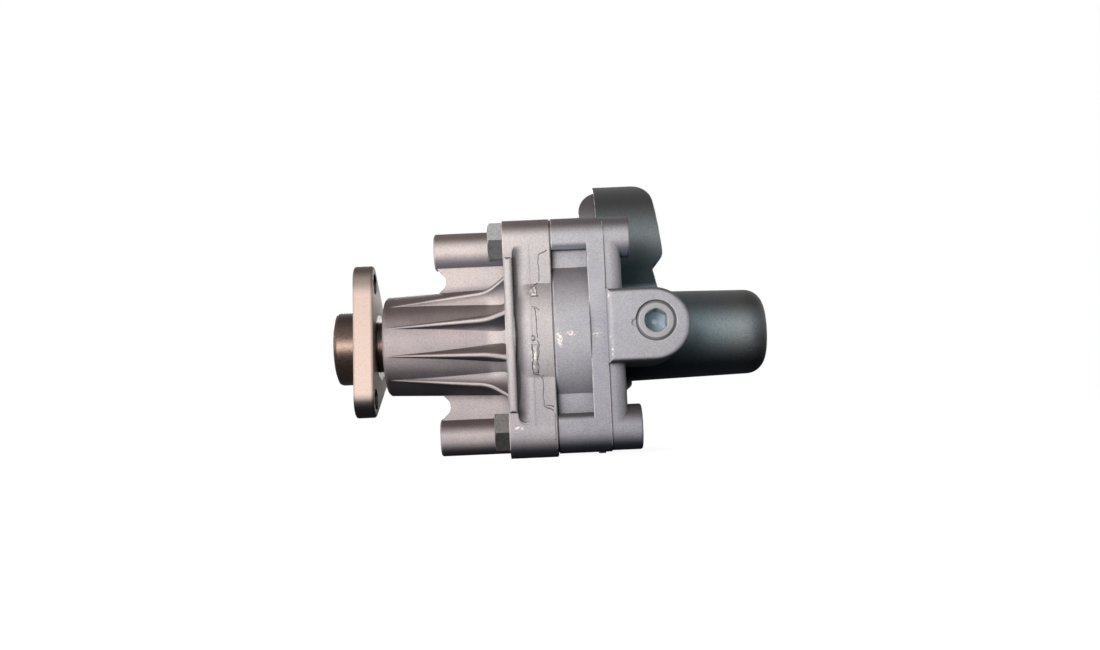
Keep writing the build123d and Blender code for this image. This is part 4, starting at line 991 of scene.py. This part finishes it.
class PUMP_OT_fasteners(bpy.types.Operator):
    """Gives the housing bolts and the plug their dull plating"""

    bl_idname = "pump.fasteners"
    bl_label = "Finish bolts and plug"

    def execute(self, context):
        look = finish()
        shade_by_facing = (look.top_painted_shade, look.bolt_painted_shade, BOLT_TOP, BOLT_UNDER)
        material, tree, shader = steel_material(
            "dull zinc", look.bolt, look.steel_roughness, metallic=0.3, shade_by_facing=shade_by_facing, spotty=0.72
        )
        # Painted shade on the lower bolts
        lower_bolt_shade = mix(tree, ramp(tree, coordinates(tree, object_place(tree))["Z"], *LOW_BOLT_SHADE_Z), LOW_BOLT_SHADE_TINT, WHITE)
        tree.links.new(multiplied(tree, base_of(shader), lower_bolt_shade), shader.inputs["Base Color"])
        give(["housing_bolts"], material)
        give(["valve_plug"], plug_material("plated plug"))
        return {"FINISHED"}


class PUMP_OT_inner_parts(bpy.types.Operator):
    """Gives the bearing, pump pack, spool, springs, bush and seals their finishes"""

    bl_idname = "pump.inner_parts"
    bl_label = "Finish inner parts"

    def execute(self, context):
        look = finish()
        ground = steel_material(
            "ground steel", look.steel, roughness=0.28, turned=True, metallic=0.8, wear_plus_highlight=0.1
        )
        spring = steel_material("spring steel", look.spring, roughness=0.35, metallic=0.7)
        bronze = steel_material("bush bronze", look.bronze, roughness=0.35, turned=True, metallic=0.8)
        give(GROUND_STEEL, ground[0])
        give(SPRINGS, spring[0])
        give(["front_bush"], bronze[0])
        give(RUBBER, rubber_material("seal rubber"))
        return {"FINISHED"}


class PUMP_OT_rim_valleys(bpy.types.Operator):
    """Adds the soft valley behind each rim of the front plate"""

    bl_idname = "pump.rim_valleys"
    bl_label = "Add rim valleys"

    def execute(self, context):
        plate = frame["nodes"]["front_housing"]
        # A casting with its painted shade but without worn or highlit edges, for the valleys and the flash
        cast = casting_material("casting with plain edges", finish().casting, scuffs=FRONT_SCUFFS, edges_bright=False)
        for name, side in (("rim_valley_near", -1), ("rim_valley_far", 1)):
            bm = bmesh.new()
            valley(bm, surface_finder([plate], side), detail().valley_depth, side)
            bmesh.ops.recalc_face_normals(bm, faces=bm.faces)
            new_piece(name, bm, cast, "housing")
        return {"FINISHED"}


class PUMP_OT_casting_flash(bpy.types.Operator):
    """Adds the uneven casting flash and its pip on the near side of the front plate"""

    bl_idname = "pump.casting_flash"
    bl_label = "Add casting flash"

    def execute(self, context):
        size = detail()
        meet = surface_finder([frame["nodes"]["front_housing"], bpy.data.objects["rim_valley_near"]])
        bm = bmesh.new()
        for seed, (height, shadow_from, line) in enumerate(FLASH_LINES):
            path = wander(line, FLASH_STEP, FLASH_SWAY, seed + 3)
            ridge(bm, meet, path, height * size.flash_height, size.flash_width, seed, shadow_from)
        slab(bm, meet, SLAB_LEFT, SLAB_RIGHT, SLAB_HEIGHT * size.flash_height, seed=5)
        cast = bpy.data.materials["casting with plain edges"]
        # The flash's second material is the painted shadow on its shaded flanks
        painted_flash_shadow = flash_shadow_material("flash painted shadow")
        flash = new_piece("casting_flash", bm, cast, "housing")
        flash.data.materials.append(painted_flash_shadow)
        bm = bmesh.new()
        bmesh.ops.create_icosphere(bm, subdivisions=3, radius=size.pip_radius)
        middle, _ = meet(*PIP)
        wide, thick, tall = PIP_STRETCH
        for vert in bm.verts:
            lump = 1 + PIP_LUMPS * noise.noise(vert.co * PIP_NOISE)
            vert.co = middle + Vector((vert.co.x * lump * wide, vert.co.y * thick, vert.co.z * lump * tall))
        new_piece("flash_pip", bm, cast, "housing")
        return {"FINISHED"}


class PUMP_OT_parting_seam(bpy.types.Operator):
    """Adds the thin parting seam on the near side of the rear housing"""

    bl_idname = "pump.parting_seam"
    bl_label = "Add parting seam"

    def execute(self, context):
        size = detail()
        meet = surface_finder([frame["nodes"]["rear_housing"]])
        bm = bmesh.new()
        for seed, (start, stop) in enumerate(SEAM_RUNS):
            path = wander(((SEAM_X, start), (SEAM_X, stop)), SEAM_STEP, SEAM_SWAY, seed + 40)
            ridge(bm, meet, path, size.seam_height, size.seam_width, seed + 40, 4)
        new_piece("parting_seam", bm, bpy.data.materials["rear casting"], "housing")
        return {"FINISHED"}


class PUMP_OT_threads(bpy.types.Operator):
    """Adds the thread ridges in the mounting, flange, clamp and port holes"""

    bl_idname = "pump.threads"
    bl_label = "Add threads"

    def execute(self, context):
        mounts = {mount["name"]: mount for mount in frame["record"]["mounts"]}
        cast = bpy.data.materials["front casting"]
        steel = bpy.data.materials["blasted flange"]
        new_piece("mount_threads", self.mount_threads(mounts), cast, "housing")
        new_piece("flange_threads", self.flange_threads(mounts), steel, "shaft")
        new_piece("port_threads", self.port_threads(mounts), cast, "housing")
        return {"FINISHED"}

    def mount_threads(self, mounts):
        size = detail()
        sizes = mounts["front_mount_bolts"]["dims"]
        half = sizes["spacing_y_mm"] / 2000
        radius = sizes["hole_r_mm"] / 1000
        bm = bmesh.new()
        for side in (1, -1):
            start = (MOUNT_START, 0, side * half)
            thread(bm, start, (1, 0, 0), radius, size.thread_depth, size.thread_pitch, MOUNT_RUN)
        return bm

    def flange_threads(self, mounts):
        size = detail()
        sizes = mounts["flange_bolts"]["dims"]
        pitch_r = sizes["pcd_mm"] / 2000
        radius = sizes["hole_r_mm"] / 1000
        front, back = FLANGE[0].x, FLANGE[1].x
        run = back - front - 2 * FLANGE_INSET
        bm = bmesh.new()
        for degrees in (LOBE_TURN, LOBE_TURN + 120, LOBE_TURN + 240):
            turn = math.radians(degrees)
            start = (front + FLANGE_INSET, pitch_r * math.cos(turn), pitch_r * math.sin(turn))
            thread(bm, start, (1, 0, 0), radius, size.thread_depth, size.thread_pitch, run)
        return bm

    def port_threads(self, mounts):
        size = detail()
        bm = bmesh.new()
        for name, pitch in (("pressure_port", size.port_pitch), ("suction_clamp_hole", size.clamp_pitch)):
            hole = mounts[name]
            reach = hole["dims"]["length_mm"] / 1000
            radius = hole["dims"]["r_mm"] / 1000
            start = Vector(hole["pos_m"]) - Vector(hole["axis"]) * (reach / 2 - PORT_MOUTH)
            depth = size.thread_depth * pitch / size.thread_pitch
            thread(bm, start, hole["axis"], radius, depth, pitch, reach - PORT_ENDS)
        return bm


class PUMP_OT_stage(bpy.types.Operator):
    """Sets the floor, the lamps, the sky and the camera"""

    bl_idname = "pump.stage"
    bl_label = "Set the stage"

    def execute(self, context):
        stage = context.scene.pump_stage
        self.set_floor(stage)
        self.set_lamps(stage)
        self.set_sky(stage)
        self.set_camera(stage)
        context.scene.view_settings.view_transform = "Standard"
        return {"FINISHED"}

    def set_floor(self, stage):
        bm = bmesh.new()
        bmesh.ops.create_grid(bm, x_segments=4, y_segments=4, size=3.0)
        mesh = bpy.data.meshes.new("floor")
        bm.to_mesh(mesh)
        bm.free()
        floor = bpy.data.objects.new("floor", mesh)
        floor.location = (0, 0, FLOOR_Z)
        bpy.context.scene.collection.objects.link(floor)
        floor.data.materials.append(floor_material("pale floor", stage.floor))

    def set_lamps(self, stage):
        tint = stage.key_tint
        self.add_lamp("key lamp", stage.key_place, stage.key_size, stage.key_power, tint, KEY_AIM)
        self.add_lamp("side lamp", stage.side_place, stage.side_size, stage.side_power, tint, SIDE_AIM)
        self.add_lamp("back lamp", stage.back_place, stage.back_size, stage.back_power, tint, BACK_AIM)

    def add_lamp(self, name, where, size, power, tint, target):
        lamp = bpy.data.lights.new(name, "AREA")
        lamp.shape = "DISK"
        lamp.size = size
        lamp.energy = power
        lamp.color = tint[:3]
        holder = bpy.data.objects.new(name, lamp)
        holder.location = where
        holder.rotation_euler = (Vector(target) - Vector(where)).to_track_quat("-Z", "Y").to_euler()
        bpy.context.scene.collection.objects.link(holder)

    def set_sky(self, stage):
        world = bpy.data.worlds.new("sky")
        bpy.context.scene.world = world
        world.use_nodes = True
        tree = world.node_tree
        tree.nodes.clear()
        out = tree.nodes.new("ShaderNodeOutputWorld")
        light = node(tree, "ShaderNodeBackground", Color=stage.sky_tint, Strength=stage.sky)
        shown = node(tree, "ShaderNodeBackground", Color=WHITE, Strength=1.0)
        path = tree.nodes.new("ShaderNodeLightPath")
        seen = maths(tree, "MAXIMUM", path.outputs["Is Camera Ray"], path.outputs["Is Glossy Ray"])
        seen = maths(tree, "MAXIMUM", seen, path.outputs["Is Transmission Ray"])
        pick = tree.nodes.new("ShaderNodeMixShader")
        tree.links.new(seen, pick.inputs[0])
        tree.links.new(light.outputs[0], pick.inputs[1])
        tree.links.new(shown.outputs[0], pick.inputs[2])
        tree.links.new(pick.outputs[0], out.inputs["Surface"])

    def set_camera(self, stage):
        data = bpy.data.cameras.new("camera")
        data.sensor_width = 36.0
        data.lens = stage.lens
        data.clip_start = 0.01
        data.clip_end = 20.0
        camera = bpy.data.objects.new("camera", data)
        camera.location = stage.camera_place
        camera.rotation_euler = Euler(stage.camera_turn, "XYZ")
        bpy.context.scene.collection.objects.link(camera)
        bpy.context.scene.camera = camera


class PUMP_PT_dressing(bpy.types.Panel):
    """Lists the pump's finishes and pieces"""

    bl_idname = "PUMP_PT_dressing"
    bl_label = "Power steering pump"
    bl_space_type = "VIEW_3D"
    bl_region_type = "UI"
    bl_category = "Pump"

    def draw(self, context):
        layout = self.layout
        for operator in OPERATORS:
            layout.operator(operator.bl_idname)
        for group in (context.scene.pump_finish, context.scene.pump_detail, context.scene.pump_stage):
            box = layout.box()
            for key in group.__annotations__:
                box.prop(group, key)


GROUPS = (("pump_finish", PumpFinish), ("pump_detail", PumpDetail), ("pump_stage", PumpStage))
OPERATORS = (
    PUMP_OT_castings,
    PUMP_OT_turned_parts,
    PUMP_OT_fasteners,
    PUMP_OT_inner_parts,
    PUMP_OT_rim_valleys,
    PUMP_OT_casting_flash,
    PUMP_OT_parting_seam,
    PUMP_OT_threads,
    PUMP_OT_stage,
)


def register():
    for name, group in GROUPS:
        bpy.utils.register_class(group)
        setattr(bpy.types.Scene, name, bpy.props.PointerProperty(type=group))
    for operator in OPERATORS:
        bpy.utils.register_class(operator)
    bpy.utils.register_class(PUMP_PT_dressing)


def unregister():
    bpy.utils.unregister_class(PUMP_PT_dressing)
    for operator in reversed(OPERATORS):
        bpy.utils.unregister_class(operator)
    for name, group in reversed(GROUPS):
        delattr(bpy.types.Scene, name)
        bpy.utils.unregister_class(group)


def main():
    register()
    bpy.ops.pump.castings()
    bpy.ops.pump.turned_parts()
    bpy.ops.pump.fasteners()
    bpy.ops.pump.inner_parts()
    bpy.ops.pump.rim_valleys()
    bpy.ops.pump.casting_flash()
    bpy.ops.pump.parting_seam()
    bpy.ops.pump.threads()
    bpy.ops.pump.stage()


if __name__ == "__main__":
    main()
